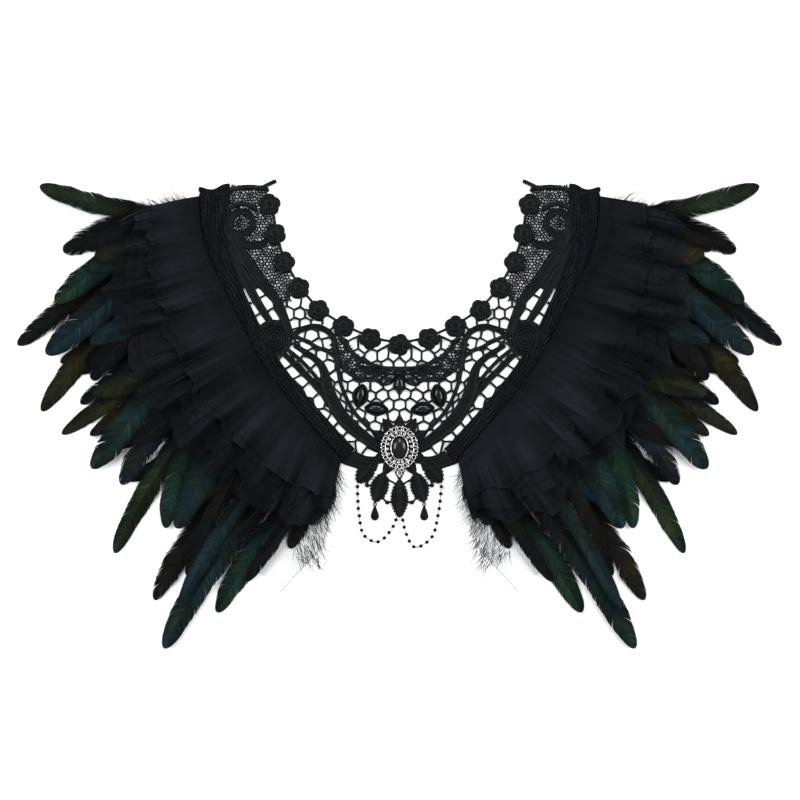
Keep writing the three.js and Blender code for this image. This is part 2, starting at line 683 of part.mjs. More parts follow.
// All the feathers of a layer, with the place of the quill and of the tip.
function layerFeathers(layer) {
  const long = FEATHERS.filter((f) => f.layer === layer);
  const short = FILLERS.filter((f) => f.layer === layer).flatMap(({ count, from, to, reach, width }) =>
    Array.from({ length: count }, (_, i) => {
      const seam = from + ((to - from) * (i + 0.5)) / count;
      const tip = wingPoint(seam, featherReach(seam) * (reach + 0.08 * (scatter(i, layer) - 0.5)));
      const bend = 0.12 * (scatter(layer, i + 7) - 0.5);
      return { seam, tipX: tip.x, tipY: tip.y, width, bend, layer, filler: true };
    }),
  );
  const taken = [];
  for (const f of [...long, ...short].sort((a, b) => a.seam - b.seam)) {
    const last = taken.at(-1);
    taken.push({ ...f, seam: last ? Math.max(f.seam, last.seam + 0.022) : f.seam });
  }
  return taken;
}

// Half the width of a feather at a share of its length.
function featherHalf(width, u) {
  const quill = 1.1;
  const body = smooth((u - 0.06) / 0.36);
  const tip = Math.sqrt(Math.max(0, 1 - Math.max(0, (u - 0.7) / 0.3) ** 2.2));
  return quill * (1 - body) * tip + (width / 2) * body * tip;
}

// The middle line of a feather, from inside its tape to its tip.
function featherLine(f) {
  const root = wingPoint(f.seam, TAPE_TO - 2);
  const tip = new THREE.Vector2(f.tipX, f.tipY);
  const along = tip.clone().sub(root);
  const side = new THREE.Vector2(-along.y, along.x);
  const middle = root.clone().add(tip).multiplyScalar(0.5).addScaledVector(side, f.bend * 2);
  return new THREE.QuadraticBezierCurve(root, middle, tip);
}

// Gives each feather of a layer the lowest of a few levels where it crosses none that
// is there already.
function levelled(feathers) {
  const SHARES = Array.from({ length: 15 }, (_, i) => (i + 1) / 15);
  const placed = [];
  for (const f of feathers) {
    const line = featherLine(f);
    const spots = SHARES.map((u) => ({ p: line.getPoint(u), half: featherHalf(f.width, u) }));
    const crosses = (other) =>
      other.spots.some((a) => spots.some((b) => a.p.distanceTo(b.p) < 0.93 * (a.half + b.half) + 0.8));
    const used = new Set(placed.filter(crosses).map((other) => other.level));
    let level = 0;
    while (used.has(level)) level++;
    placed.push({ ...f, line, spots, level });
  }
  return placed;
}

// One feather: a blade that is flat below and rises to its shaft.
function blade(f) {
  const LEVELS = 3; // of each layer
  const start = tapeHeight(f.layer) + 0.05 * f.level + 0.04 * scatter(Math.round(f.seam * 100), f.layer);
  const own = 2 + QUILL_LEVEL * (LEVELS * f.layer + f.level);
  const long = f.line.getLength();
  const outer = f.filler ? [0.6, 0.9, 1] : [0.4, 0.72, 0.92, 1];
  const shares = [0, IN_TAPE / long, (IN_TAPE + SPREAD_LENGTH) / long, ...outer];
  const rings = shares.map((u) => {
    const p = f.line.getPoint(u);
    const along = f.line.getTangent(u);
    const half = Math.max(featherHalf(f.width, u), 0.35);
    const risen = Math.min(1, Math.max(0, (u * long - IN_TAPE) / SPREAD_LENGTH));
    const z = (start + (own - start) * risen) * settling(p.x, p.y);
    const thick = u === 1 ? 0.15 : BLADE_HALF * (1 - 0.45 * u);
    return [
      new THREE.Vector3(p.x - along.y * half, p.y + along.x * half, z - thick),
      new THREE.Vector3(p.x, p.y, z + thick),
      new THREE.Vector3(p.x + along.y * half, p.y - along.x * half, z - thick),
    ];
  });
  return closedLoft(rings);
}

// The tape that a layer's quills are sewn into.
function tape(layer) {
  const z = tapeHeight(layer);
  const rings = Array.from({ length: 10 }, (_, i) => {
    const s = WING_START + ((WING_END - WING_START) * i) / 9;
    const a = wingPoint(s, TAPE_FROM);
    const b = wingPoint(s, TAPE_TO);
    const low = z - TAPE_THICK / 2;
    const high = z + TAPE_THICK / 2;
    return [
      new THREE.Vector3(a.x, a.y, low),
      new THREE.Vector3(b.x, b.y, low),
      new THREE.Vector3(b.x, b.y, high),
      new THREE.Vector3(a.x, a.y, high),
    ];
  });
  return closedLoft(rings);
}

function featherLayer(layer) {
  const blades = levelled(layerFeathers(layer)).map((f) => solid(blade(f)));
  return largest(wasm.Manifold.union([solid(tape(layer)), ...blades]));
}

// The jewels.

// A cut stone: a girdle, a smaller table above it and a flat back.
function cutStone(outline, scale, z0, height) {
  const middle = outline.reduce((a, p) => a.add(p), new THREE.Vector2()).divideScalar(outline.length);
  const ring = (share, z) => outline.map((p) => {
    const q = p.clone().sub(middle).multiplyScalar(share).add(middle);
    return new THREE.Vector3(q.x, q.y, z);
  });
  return closedLoft([ring(0.9, z0), ring(1, z0 + 0.3 * height), ring(scale, z0 + height)]);
}

function broochFrame() {
  const { at, halfWidth, halfLength, thick, lobes } = BROOCH;
  const FINIAL = 7; // the point below the frame
  const count = lobes * 2;
  const outer = Array.from({ length: count }, (_, i) => {
    const a = (2 * Math.PI * i) / count;
    const lobe = 1 + 0.05 * Math.cos(lobes * a);
    const point = Math.exp(-(((a - 1.5 * Math.PI) / 0.2) ** 2)) * FINIAL;
    return new THREE.Vector2(
      at[0] + halfWidth * lobe * Math.cos(a),
      at[1] + (halfLength * lobe + point) * Math.sin(a),
    );
  });
  const inner = ovalOutline(at, BROOCH_STONE.halfWidth + SEAM_GAP + 0.1, BROOCH_STONE.halfLength + SEAM_GAP + 0.1, 12);
  const z0 = ON_MOTIFS;
  const raised = ovalOutline(at, halfWidth * 0.76, halfLength * 0.78, 16);
  const base = solid(plate(outer, z0, z0 + thick * 0.6, inner));
  return largest(base.add(solid(plate(raised, z0, z0 + thick, inner))));
}

function ovalOutline([x, y], halfWidth, halfLength, count) {
  return roundOutline(0, 0, count, () => 1).map(
    (p) => new THREE.Vector2(x + p.x * halfWidth, y + p.y * halfLength),
  );
}

function broochStone() {
  const { halfWidth, halfLength, height } = BROOCH_STONE;
  const outline = ovalOutline(BROOCH.at, halfWidth, halfLength, 12);
  return cutStone(outline, 0.55, ON_MOTIFS, height);
}

function navetteStone(leaf) {
  const outline = leafOutline({ ...leaf, length: STONE.length, width: STONE.width }, 3);
  return cutStone(outline, 0.5, ON_MOTIFS, STONE.height);
}

// A string of small beads, as a plain tube that lies on the surface.
function beadString(points) {
  const SIDES = 8;
  const STEPS = 17;
  const path = new THREE.CatmullRomCurve3(points.map(([x, y]) => new THREE.Vector3(x, y, BEAD_RADIUS)));
  const section = new THREE.Shape(roundOutline(0, 0, SIDES, () => BEAD_RADIUS, Math.PI / SIDES));
  return new THREE.ExtrudeGeometry(section, { steps: STEPS, extrudePath: path, bevelEnabled: false });
}

// A drop that hangs from a hanging leaf: its link comes down to the leaf's tip, and
// below it is a faceted pear.
function dropBead([x, y]) {
  const PROFILE = [
    { along: 8.3, half: 0.6, z: 1.3 },
    { along: 5, half: 0.8, z: 2.2 },
    { along: 1, half: 2.4, z: 3.3 },
    { along: -2.6, half: 3.2, z: 3.3 },
    { along: -5, half: 1.8, z: 3.3 },
  ];
  const rings = PROFILE.map(({ along, half, z }) =>
    Array.from({ length: 6 }, (_, k) => {
      const a = (Math.PI / 3) * k;
      return new THREE.Vector3(x + half * Math.cos(a), y + along, z + half * Math.sin(a));
    }),
  );
  return closedLoft(rings);
}

// The rolled end of the tie at the shoulder end of the neckline.
function tieEnd() {
  const HALF = 1.5;
  const path = [[-112.5, 196.6], [-109, 198.6], [-104.5, 200]];
  const rings = stations(curveThrough(path), 3).map(({ p, side }) =>
    Array.from({ length: 6 }, (_, k) => {
      const a = (Math.PI / 3) * k;
      const r = HALF * Math.cos(a);
      return new THREE.Vector3(p.x + side.x * r, p.y + side.y * r, HALF + HALF * Math.sin(a));
    }),
  );
  return closedLoft(rings);
}

// The cape.

const finish = (color, roughness, metalness = 0) => new THREE.MeshStandardMaterial({ color, roughness, metalness });
const lace = finish(0x141519, 0.8);
const net = finish(0x17181d, 0.9);
const plume = finish(0x16241f, 0.5);
const silver = finish(0xc9c5bf, 0.3, 0.9);
const jet = finish(0x0b0c0f, 0.1);

const cape = new THREE.Group();

function add(name, geometry, material) {
  const mesh = new THREE.Mesh(geometry, material);
  mesh.name = name;
  cape.add(mesh);
}

// A piece of the left wing and its mirror image.
function addPair(name, geometry, material) {
  add(name + "_left", geometry, material);
  add(name + "_right", mirrored(geometry), material);
}

add("lace_collar", laceCollar(), lace);
addPair("net_panel", netPanel(), net);
["feathers_long", "feathers_middle", "feathers_short"].forEach((name, layer) =>
  addPair(name, featherLayer(layer), plume),
);
for (const ruffle of RUFFLES) addPair(ruffle.name, ruffleSheet(ruffle), net);
addPair("tie_end", tieEnd(), lace);
add("brooch_frame", broochFrame(), silver);
add("brooch_stone", broochStone(), jet);
STONE_LEAVES.forEach((leaf, i) => addPair(`stone_${i + 1}`, navetteStone(leaf), jet));
add("stone_middle", navetteStone(MIDDLE_STONE_LEAF), jet);
for (const [name, points] of Object.entries(BEAD_STRINGS)) add(name, beadString(points), jet);
for (const [name, at] of Object.entries(DROPS)) add(name, dropBead(at), jet);

// The origin goes under the middle of the cape.
const box = new THREE.Box3().setFromObject(cape);
cape.position.y = -(box.min.y + box.max.y) / 2;

export default cape;
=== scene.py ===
"""Looks of the feather cape: guipure lace, gathered net, iridescent rooster feathers, a
silver brooch, cut stones, strings of beads and drops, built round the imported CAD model.
Lengths in the tables are millimetres, as in the part's source."""

import math

import bmesh
import bpy
import numpy as np
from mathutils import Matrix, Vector


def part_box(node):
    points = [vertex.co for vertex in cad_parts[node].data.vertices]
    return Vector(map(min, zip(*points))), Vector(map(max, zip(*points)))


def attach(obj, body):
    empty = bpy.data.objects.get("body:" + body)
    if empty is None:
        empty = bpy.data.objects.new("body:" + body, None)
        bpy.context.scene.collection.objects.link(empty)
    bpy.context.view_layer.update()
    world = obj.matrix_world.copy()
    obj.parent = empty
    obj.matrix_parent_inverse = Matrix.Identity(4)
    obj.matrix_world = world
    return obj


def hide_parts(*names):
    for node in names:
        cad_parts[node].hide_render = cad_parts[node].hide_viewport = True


bl_info = {
    "name": "Feather cape",
    "version": (1, 0, 0),
    "blender": (4, 5, 0),
    "location": "3D View > Sidebar > Feather cape",
    "description": "Builds the lace, net, feathers and jewels of a feather shoulder cape",
    "category": "Object",
}

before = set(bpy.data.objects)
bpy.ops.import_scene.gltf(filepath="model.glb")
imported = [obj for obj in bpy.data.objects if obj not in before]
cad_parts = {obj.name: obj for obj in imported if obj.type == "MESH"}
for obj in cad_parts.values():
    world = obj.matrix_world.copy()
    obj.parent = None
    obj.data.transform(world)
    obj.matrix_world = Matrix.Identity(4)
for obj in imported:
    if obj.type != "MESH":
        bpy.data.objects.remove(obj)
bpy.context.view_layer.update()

MM = 0.001
SEAM_GAP = 0.3  # room between pieces that lie on each other
CLOTH = 1.0  # thickness of the net in the plain solids
LACE_MOTIF = 2.3  # height of the top of the lace's motifs
MOTIF_UNDERSIDE = 0.25  # height of the underside of the scrolls and rings
FLOWER_UNDERSIDE = 0.3  # height of the underside of the flowers and leaves
STONE_LEAF_TOP = 2.6
WIDE_BAND = 4.5  # a scroll wider than this is a band of cords, a narrower one a single cord
ON_MOTIFS = LACE_MOTIF + 0.2 + SEAM_GAP
CELL_PITCH = 10  # spacing of the gaps of the lace's open ground
FLOWER_RADIUS = 9
FLOWERS_A_SIDE = 7
WING_START = 0.045  # shares of the seam between which the wing is sewn on
WING_END = 0.99
FOLDS = 10  # large folds of each ruffle
FOLD_HEIGHT = 4.6  # half the height of a fold at the hem
TIER_PITCH = 3.6  # height of one ruffle above the next
BODY_FROM = 24  # distance from the seam at which a ruffle has risen over the feathers
BODY_LEVEL = 15.6  # height of the lowest ruffle there
OPENED_AT_BODY = 0.104  # share of their height that the folds have there
QUILL_LEVEL = 1.5  # height of one level of feathers above the next
TAPE_FROM = 6  # distances from the seam between which the quills' tape lies
TAPE_TO = 12
TAPE_THICK = 1.4
IN_TAPE = 3  # length of a quill inside its tape
SPREAD_LENGTH = 12  # length in which a feather rises from its tape to its own level
NET_LEVEL = 0.8  # height of the lace's fine net
STRING_LEVEL = 1.2  # height of the bead strings' thread
BEAD_RADIUS = 1.6

# The seam where the lace's outer edge holds the left wing, from the shoulder down.
SEAM = [(-171, 195), (-165, 146), (-143, 97), (-117, 46), (-86, 5), (-48, -37)]
# The neckline, through the middles of the left flowers, down to the one in the centre.
NECKLINE = [(-110.5, 180), (-99.5, 134), (-72, 93), (-31, 68.5), (0, 61)]

# Long feathers of the left wing: place along the seam, tip x and y, width, bow, layer and
# tint. The same rows as in the part's source, with the colour of each.
FEATHERS = [
    (0.05, -285.7, 140.1, 23.8, -0.02, 0, "dark"),
    (0.09, -324.6, 61.0, 21.2, -0.00, 0, "dark"),
    (0.10, -305.5, 196.0, 18.0, 0.05, 1, "olive_green"),
    (0.14, -292.0, 96.2, 22.4, -0.07, 1, "green"),
    (0.15, -299.9, 53.0, 25.6, 0.00, 2, "blue"),
    (0.22, -304.0, 4.5, 20.6, -0.05, 0, "olive"),
    (0.29, -261.0, 31.0, 26.0, -0.06, 2, "dark"),
    (0.40, -271.0, 11.0, 19.3, 0.00, 1, "dark"),
    (0.41, -261.3, -44.1, 25.8, -0.01, 1, "teal"),
    (0.48, -236.0, -57.9, 26.0, -0.03, 2, "grey"),
    (0.52, -287.0, -15.0, 15.8, -0.04, 0, "olive"),
    (0.55, -262.9, -15.9, 16.9, -0.03, 0, "olive"),
    (0.58, -189.2, -94.9, 24.8, 0.01, 2, "teal"),
    (0.58, -242.0, -116.1, 19.2, -0.05, 0, "olive_green"),
    (0.60, -198.5, -94.9, 20.9, -0.10, 1, "green"),
    (0.74, -180.7, -135.1, 16.6, -0.03, 2, "dark"),
    (0.80, -208.0, -156.0, 21.8, -0.05, 0, "brown"),
    (0.83, -188.0, -163.8, 14.4, -0.04, 2, "teal"),
    (0.90, -200.0, -197.0, 23.0, -0.05, 1, "teal"),
    (0.95, -130.0, -140.0, 14.0, 0.00, 1, "dark"),
    (0.96, -155.0, -166.5, 21.0, -0.05, 0, "green"),
    (0.98, -77.8, -91.0, 20.3, 0.07, 2, "grey"),
]
# Shorter feathers: layer, count, from and to along the seam, reach, width.
FILLERS = [(0, 2, 0.25, 0.9, 1, 20), (1, 3, 0.05, 0.9, 0.97, 20), (2, 4, 0.05, 0.92, 0.94, 20)]
FILLER_TINTS = ["dark", "green", "olive", "teal", "dark"]
# Short dark feathers between the long ones, with their tints in turn.
HACKLES = {"count": 16, "width": 17, "tints": ("dark", "grey", "dark", "brown")}

# Ruffles from the top one down: name, gathered edge as distance and height, share of the
# reach, tier.
RUFFLES = [
    ("ruffle_top", [(-5, 1.8), (0.6, 1.8), (4.6, 10.4)], 0.62, 2),
    ("ruffle_middle", [(6, 8.4), (12, 8.4)], 0.82, 1),
    ("ruffle_low", [(6, 6.9), (12, 6.9)], 1.0, 0),
]

# Scrolls of the lace: widths at the start, middle and end, along a line.
SCROLLS = [
    ((6, 9, 5), [(-150, 184), (-142, 153), (-121, 119), (-103, 96), (-92, 69)]),
    ((2.5, 5, 3.5), [(-139, 132), (-126, 104), (-111, 80)]),
    ((4, 10, 7), [(-90, 61), (-67, 44), (-60, 20), (-47, -2), (-25, -21), (-14, -29)]),
    ((4, 5, 3), [(-100, 55), (-84, 39), (-69, 24), (-60, 8)]),
    ((4, 5, 4), [(-93, 66), (-83, 74), (-69, 76), (-57, 68), (-55, 52)]),
    ((3, 3, 3), [(-52, 70), (-44, 59), (-33, 49), (-17, 42), (2, 41)]),
    ((3, 3, 3), [(-57, 66), (-51, 45), (-36, 33), (-18, 31), (2, 32.5)]),
    ((2, 6, 2), [(-37, 44), (-24, 38.5), (-10, 36.5)]),
    ((4, 4, 4), [(-159, 189), (-151, 190), (-142, 193), (-128, 195), (-111, 193)]),
    ((6, 6, 6), [(-40.4, -31.6), (-29, -36.6), (-17, -37)]),
]
# The two scrolls on both sides of the crescent of fine net.
CRESCENT = (5, 6)
# Rows of gaps between the scrolls: first and last gap, and their number.
LADDERS = [
    ((-120, 108), (-106, 85), 3),
    ((-131, 101), (-116, 83), 3),
    ((-88, 55), (-70, 37), 3),
    ((-97, 50), (-88, 38), 2),
    ((-84, 31), (-67, 13), 3),
    ((-58, -4), (-24, -30), 5),
]

# Cords and narrow bands of one width, along a line.
EXTRA_CORDS = [
    (7, [(-139, 151), (-126, 145), (-112, 148)]),
    (8, [(-149, 147), (-141, 125), (-133, 108)]),
    (6, [(-139, 138), (-129, 120), (-120, 109)]),
    (6, [(-147, 180), (-150, 166), (-147, 150)]),
    (4, [(-146, 176), (-134, 181), (-121, 176)]),
    (3.4, [(-99, 60), (-82, 46), (-67, 28), (-59, 8), (-46, -10), (-24, -26)]),
    (3.4, [(-92, 70), (-72, 60), (-55, 50), (-50, 28), (-40, 6), (-24, -12)]),
    (12, [(-66, -18), (-52, -31), (-36, -38), (-18, -41)]),
    (3.2, [(-133, 126), (-121, 102), (-108, 80)]),
    (3, [(-106, 92), (-99, 80), (-96, 68)]),
    (7, [(-146.5, 157), (-141.5, 142), (-135, 127)]),
]

# Leaves: middle, length, width, direction in degrees.
STONE_LEAVES = [
    ((-33.3, 17.6), 21, 12.5, 76),
    ((-19.6, 6.5), 21, 11, -5),
    ((-9.8, 31.5), 17.5, 8.5, 213),
]
MIDDLE_STONE_LEAF = ((0, 27), 18, 8.5, 90)
HANGING_LEAVES = [((-29, -47.5), 22, 13.5, 52), ((-17, -60), 27, 14, 73)]
MIDDLE_LEAF = ((0, -69.5), 33, 13.5, 90)
# Threads between the hanging leaves, each with a knot at its middle point.
HANGING_BARS = [
    [(-26, -53), (-27.5, -58.5), (-20, -57)],
    [(-15, -67), (-10.5, -73), (-3, -70)],
    [(-18, -52), (-11, -53), (-2, -58)],
]
# The flower behind the brooch: how far its petals and the notches between them reach.
LOTUS = {"at": (0, -26), "petals": 12, "tip": 28, "root": 19}
ROSETTE = {"at": (-107, 66.5), "radius": 12.5}
SHOULDER_RING = {"at": (-134.5, 164.5), "outer": 11.5, "inner": 6.5}
BROOCH = {"at": (0, -26.5), "half_width": 15.5, "half_length": 18, "lobes": 18}
BROOCH_STONE = {"half_width": 6.2, "half_length": 8.8, "height": 5}
STONE = {"length": 13, "width": 5.6, "height": 2.6}
# How much longer and wider the cut stones are than the plain solids.
STONE_GROWTH = (1.1, 1.18)
BEAD_STRINGS = {
    "bead_string_left": [
        (-35.8, -56.5),
        (-34.5, -82),
        (-30, -101),
        (-18.5, -106.5),
        (-7, -96),
        (-1.9, -84.7),
    ],
    "bead_string_right": [
        (35.8, -56.5),
        (33, -82),
        (27, -103),
        (13, -111),
        (5.5, -99),
        (2.2, -84.8),
    ],
}
DROPS = {"drop_left": (-20.95, -81.6), "drop_right": (20.95, -81.6)}
# A drop from its ring to its tip: place along it, half its width, height of its middle.
DROP_PROFILE = [
    (5.4, 0.0, 2.2),
    (5.0, 0.7, 2.2),
    (3.2, 1.35, 2.9),
    (0.6, 2.5, 3.3),
    (-2.2, 3.2, 3.3),
    (-4.0, 2.5, 3.3),
    (-5.0, 1.2, 3.3),
    (-5.2, 0.0, 3.3),
]
DROP_SIDES = 10
DROP_STRETCH = {"across": 1.15, "along": 1.22, "shift": -0.5}
TIE_PATH = [(-116.5, 194.4), (-109, 198.6), (-104.5, 200)]
TIE_RADIUS = 1.7
TIE_LEVEL = 1.9

low_corner, high_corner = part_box("brooch_stone")
SHIFT = 1000 * (low_corner.y + high_corner.y) / 2 - BROOCH["at"][1]


# Lines and surfaces.


def smooth(x):
    """x limited to 0 to 1 and eased at both ends."""
    t = np.clip(x, 0, 1)
    return t * t * (3 - 2 * t)


def scatter(i, j):
    """A repeatable number from 0 to 1 for a pair of whole numbers."""
    value = np.sin(np.asarray(i) * 12.9898 + np.asarray(j) * 78.233) * 43758.5453
    return value - np.floor(value)


def wander(x, seed):
    """A smooth repeatable line between -1 and 1 that changes about once for each unit."""
    i = np.floor(x)
    share = smooth(x - i)
    return 2 * (scatter(i, seed) * (1 - share) + scatter(i + 1, seed) * share) - 1


def spline(points, t):
    """Places on the smooth line through points, at shares t of it."""
    known = np.asarray(points, float)
    last = len(known) - 1
    p = np.clip(np.asarray(t, float), 0, 1) * last
    i = np.floor(p).astype(int)
    w = (p - i)[..., None]
    a, b, c, d = (known[np.clip(i + k, 0, last)] for k in (-1, 0, 1, 2))
    va, vb = (c - a) / 2, (d - b) / 2
    return (2 * b - 2 * c + va + vb) * w**3 + (3 * c - 3 * b - 2 * va - vb) * w**2 + va * w + b


def along_and_side(points, t):
    """Direction of the smooth line at shares t, and the direction to its left."""
    step = 1e-4
    t = np.asarray(t, float)
    way = spline(points, np.minimum(t + step, 1)) - spline(points, np.maximum(t - step, 0))
    way /= np.linalg.norm(way, axis=-1, keepdims=True)
    return way, np.stack([-way[..., 1], way[..., 0]], -1)


def line_length(points):
    """Length of a smooth line."""
    places = spline(points, np.linspace(0, 1, 200))
    return float(np.linalg.norm(np.diff(places, axis=0), axis=1).sum())


def evenly(points, count):
    """count + 1 shares of the smooth line, evenly spaced along it."""
    t = np.linspace(0, 1, 201)
    steps = np.linalg.norm(np.diff(spline(points, t), axis=0), axis=1)
    walked = np.concatenate([[0], np.cumsum(steps)])
    return np.interp(np.linspace(0, walked[-1], count + 1), walked, t)


def signed_distance(line, points):
    """Distance of points to the left of a smooth line, less than nothing to its right."""
    t = np.linspace(0, 1, 80)
    places = spline(line, t)
    _, side = along_and_side(line, t)
    gap = points[:, None] - places[None]
    near = np.argmin((gap**2).sum(-1), 1)
    return (gap[np.arange(len(points)), near] * side[near]).sum(-1)


def fan_direction(s):
    """Direction in which a feather leaves the seam, at a share of its length."""
    a = np.radians(192 - 10 * s + 76 * s * s)
    return np.stack([np.cos(a), np.sin(a)], -1)


def wing_point(s, d):
    """A point of the left wing: s along the seam and d outwards from it."""
    s = np.asarray(s, float)
    return spline(SEAM, s) + np.asarray(d, float)[..., None] * fan_direction(s)


def ruffle_reach(s):
    """How far a tier of net reaches from the seam."""
    return 58 + 14 * s + 34 * np.sin(np.pi * s) - 22 * smooth((s - 0.85) / 0.15)


def feather_reach(s):
    """How far the feathers reach from the seam."""
    return 80 + 62 * np.sin(np.pi * s) ** 1.3


def scroll_half(widths, t):
    """Half the width of a scroll, from its widths at even stations."""
    start, middle, end = widths
    first = start + (middle - start) * smooth(2 * t)
    second = middle + (end - middle) * smooth(2 * t - 1)
    return np.where(t < 0.5, first, second) / 2


def steady(value):
    """A width that stays the same along a line."""
    return lambda t: value + 0 * t


def border_width(s):
    """Width of the corded border, at a share of the seam."""
    return 14 + 13 * (1 - smooth(s / 0.42)) * smooth((s + 0.1) / 0.1)


def with_height(flat, z):
    """Points in space, from points on the plane and their heights."""
    return np.concatenate([flat, np.broadcast_to(z, flat.shape[:-1])[..., None]], -1)


# Meshes.

LATTICES = {}


def lattice(rows, columns, split=False):
    """A grid mesh with the row and column of each of its points. With split, every second
    row of faces is left out, so that the others are loose strips."""
    key = (rows, columns, split)
    if key not in LATTICES:
        bm = bmesh.new()
        bmesh.ops.create_grid(bm, x_segments=columns, y_segments=rows, size=0.5)
        if split:
            between = [f for f in bm.faces if int((f.calc_center_median().y + 0.5) * rows) % 2]
            bmesh.ops.delete(bm, geom=between, context="FACES_ONLY")
        mesh = bpy.data.meshes.new("lattice")
        bm.to_mesh(mesh)
        bm.free()
        places = points_of(mesh)
        row = np.rint((places[:, 1] + 0.5) * rows)
        column = np.rint((places[:, 0] + 0.5) * columns)
        LATTICES[key] = (mesh, row, column)
    return LATTICES[key]


FLIPPED = {}


def flipped(mesh, rows, columns):
    """The same grid with its faces turned over."""
    key = (rows, columns)
    if key not in FLIPPED:
        bm = bmesh.new()
        bm.from_mesh(mesh)
        bmesh.ops.reverse_faces(bm, faces=bm.faces)
        made = bpy.data.meshes.new("flipped")
        bm.to_mesh(made)
        bm.free()
        FLIPPED[key] = made
    return FLIPPED[key]


def points_of(mesh):
    """Places of a mesh's points, one row for each."""
    places = np.zeros(len(mesh.vertices) * 3, np.float32)
    mesh.vertices.foreach_get("co", places)
    return places.reshape(-1, 3).astype(float)


def made_by(operation, name, **values):
    """A small mesh made by one of the mesh operations."""
    bm = bmesh.new()
    operation(bm, **values)
    mesh = bpy.data.meshes.new(name)
    bm.to_mesh(mesh)
    bm.free()
    return mesh


class Gather:
    """Copies of small meshes, each with its points put in place, gathered as one piece."""

    def __init__(self):
        self.bm = bmesh.new()
        self.points, self.uvs, self.tints, self.slots = [], [], [], []

    def add(self, mesh, points, uv=None, tint=None, slot=0):
        """Adds a copy of mesh with its points at points, in millimetres."""
        count = len(points)
        self.bm.from_mesh(mesh)
        self.points.append(points)
        self.uvs.append(np.zeros((count, 2)) if uv is None else uv)
        plain = np.ones((count, 4))
        if tint is not None:
            plain[:, :3] = tint
        self.tints.append(plain)
        self.slots.append(np.full(len(mesh.polygons), slot))

    def object(self, name, materials, hand=1, weld=0.002, faceted=(), closed=True):
        """The piece as an object. hand is -1 for the mirror image."""
        mesh = bpy.data.meshes.new(name)
        self.bm.to_mesh(mesh)
        self.bm.free()
        points = np.concatenate(self.points)
        points = (points * (hand, 1, 1) + (0, SHIFT, 0)) * MM
        mesh.vertices.foreach_set("co", points.ravel())
        which = np.concatenate(self.slots).astype(np.int32)
        mesh.polygons.foreach_set("material_index", which)
        mesh.polygons.foreach_set("use_smooth", ~np.isin(which, list(faceted)))
        corners = np.zeros(len(mesh.loops), np.int32)
        mesh.loops.foreach_get("vertex_index", corners)
        layer = mesh.uv_layers.new(name="UVMap")
        layer.data.foreach_set("uv", np.concatenate(self.uvs)[corners].ravel())
        tint = mesh.attributes.new("tint", "FLOAT_COLOR", "POINT")
        tint.data.foreach_set("color", np.concatenate(self.tints).ravel())
        bm = bmesh.new()
        bm.from_mesh(mesh)
        if weld:
            bmesh.ops.remove_doubles(bm, verts=bm.verts, dist=weld * MM)
            bmesh.ops.dissolve_degenerate(bm, dist=1e-3 * MM, edges=bm.edges)
        if closed:
            bmesh.ops.recalc_face_normals(bm, faces=bm.faces)
        elif hand < 0:
            bmesh.ops.reverse_faces(bm, faces=bm.faces)
        bm.to_mesh(mesh)
        bm.free()
        for material in materials:
            mesh.materials.append(material)
        obj = bpy.data.objects.new(name, mesh)
        bpy.context.scene.collection.objects.link(obj)
        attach(obj, "root")
        return obj


def round_curve(name, lines, radius, sides):
    """A round curve along each line of points."""
    curve = bpy.data.curves.new(name, "CURVE")
    curve.dimensions = "3D"
    curve.bevel_depth = radius
    curve.bevel_resolution = sides
    curve.use_fill_caps = True
    for line in lines:
        run = curve.splines.new("POLY")
        run.points.add(len(line) - 1)
        run.points.foreach_set("co", np.concatenate([line, np.ones((len(line), 1))], 1).ravel())
    return curve


def threads(lines, radius, sides):
    """A mesh of round threads along lines of points, all in millimetres, with those
    points' own heights."""
    curve = round_curve("threads", lines, radius, sides)
    obj = bpy.data.objects.new("threads", curve)
    bpy.context.scene.collection.objects.link(obj)
    bpy.context.view_layer.update()
    evaluated = obj.evaluated_get(bpy.context.evaluated_depsgraph_get())
    mesh = bpy.data.meshes.new_from_object(evaluated)
    bpy.data.objects.remove(obj)
    bpy.data.curves.remove(curve)
    return mesh


def add_threads(gather, lines, radius, sides=0, slot=0):
    """Adds a round thread along each line."""
    mesh = threads(lines, radius, sides)
    points = points_of(mesh)
    gather.add(mesh, points, uv=points[:, :2], slot=slot)


def both_sides(lines):
    """A line and its mirror image."""
    return [*lines, *[line * (-1, 1, 1) for line in lines]]


def ring_line(x, y, z, radius_x, radius_y, count):
    """A closed line about a middle."""
    a = np.linspace(0, 2 * np.pi, count + 1)
    return np.stack([x + radius_x * np.cos(a), y + radius_y * np.sin(a), np.full(count + 1, z)], 1)


# Profiles across a band of lace, for x from -1 to 1, with heights from 0 to 1.


def cord_profile(x):
    """Height across a round cord."""
    return np.sqrt(np.clip(1 - x * x, 0, 1))


def band_profile(x):
    """Height across a band of fine cords laid side by side."""
    flat = 0.62 * np.clip(1 - np.abs(x) ** 6, 0, 1)
    cords = 0.38 * np.exp(-(((np.abs(x) - 0.74) / 0.17) ** 2))
    vein = 0.16 * np.exp(-((x / 0.16) ** 2))
    return flat + cords + vein


def painted_crest_light(z, low, high):
    """Painted highlight and shade of thread at a height: lighter on the crests than in the hollows.
    """
    share = np.clip((z - low) / (high - low), 0, 1)
    return np.repeat((0.2 + 2.3 * share**3)[:, None], 3, 1)


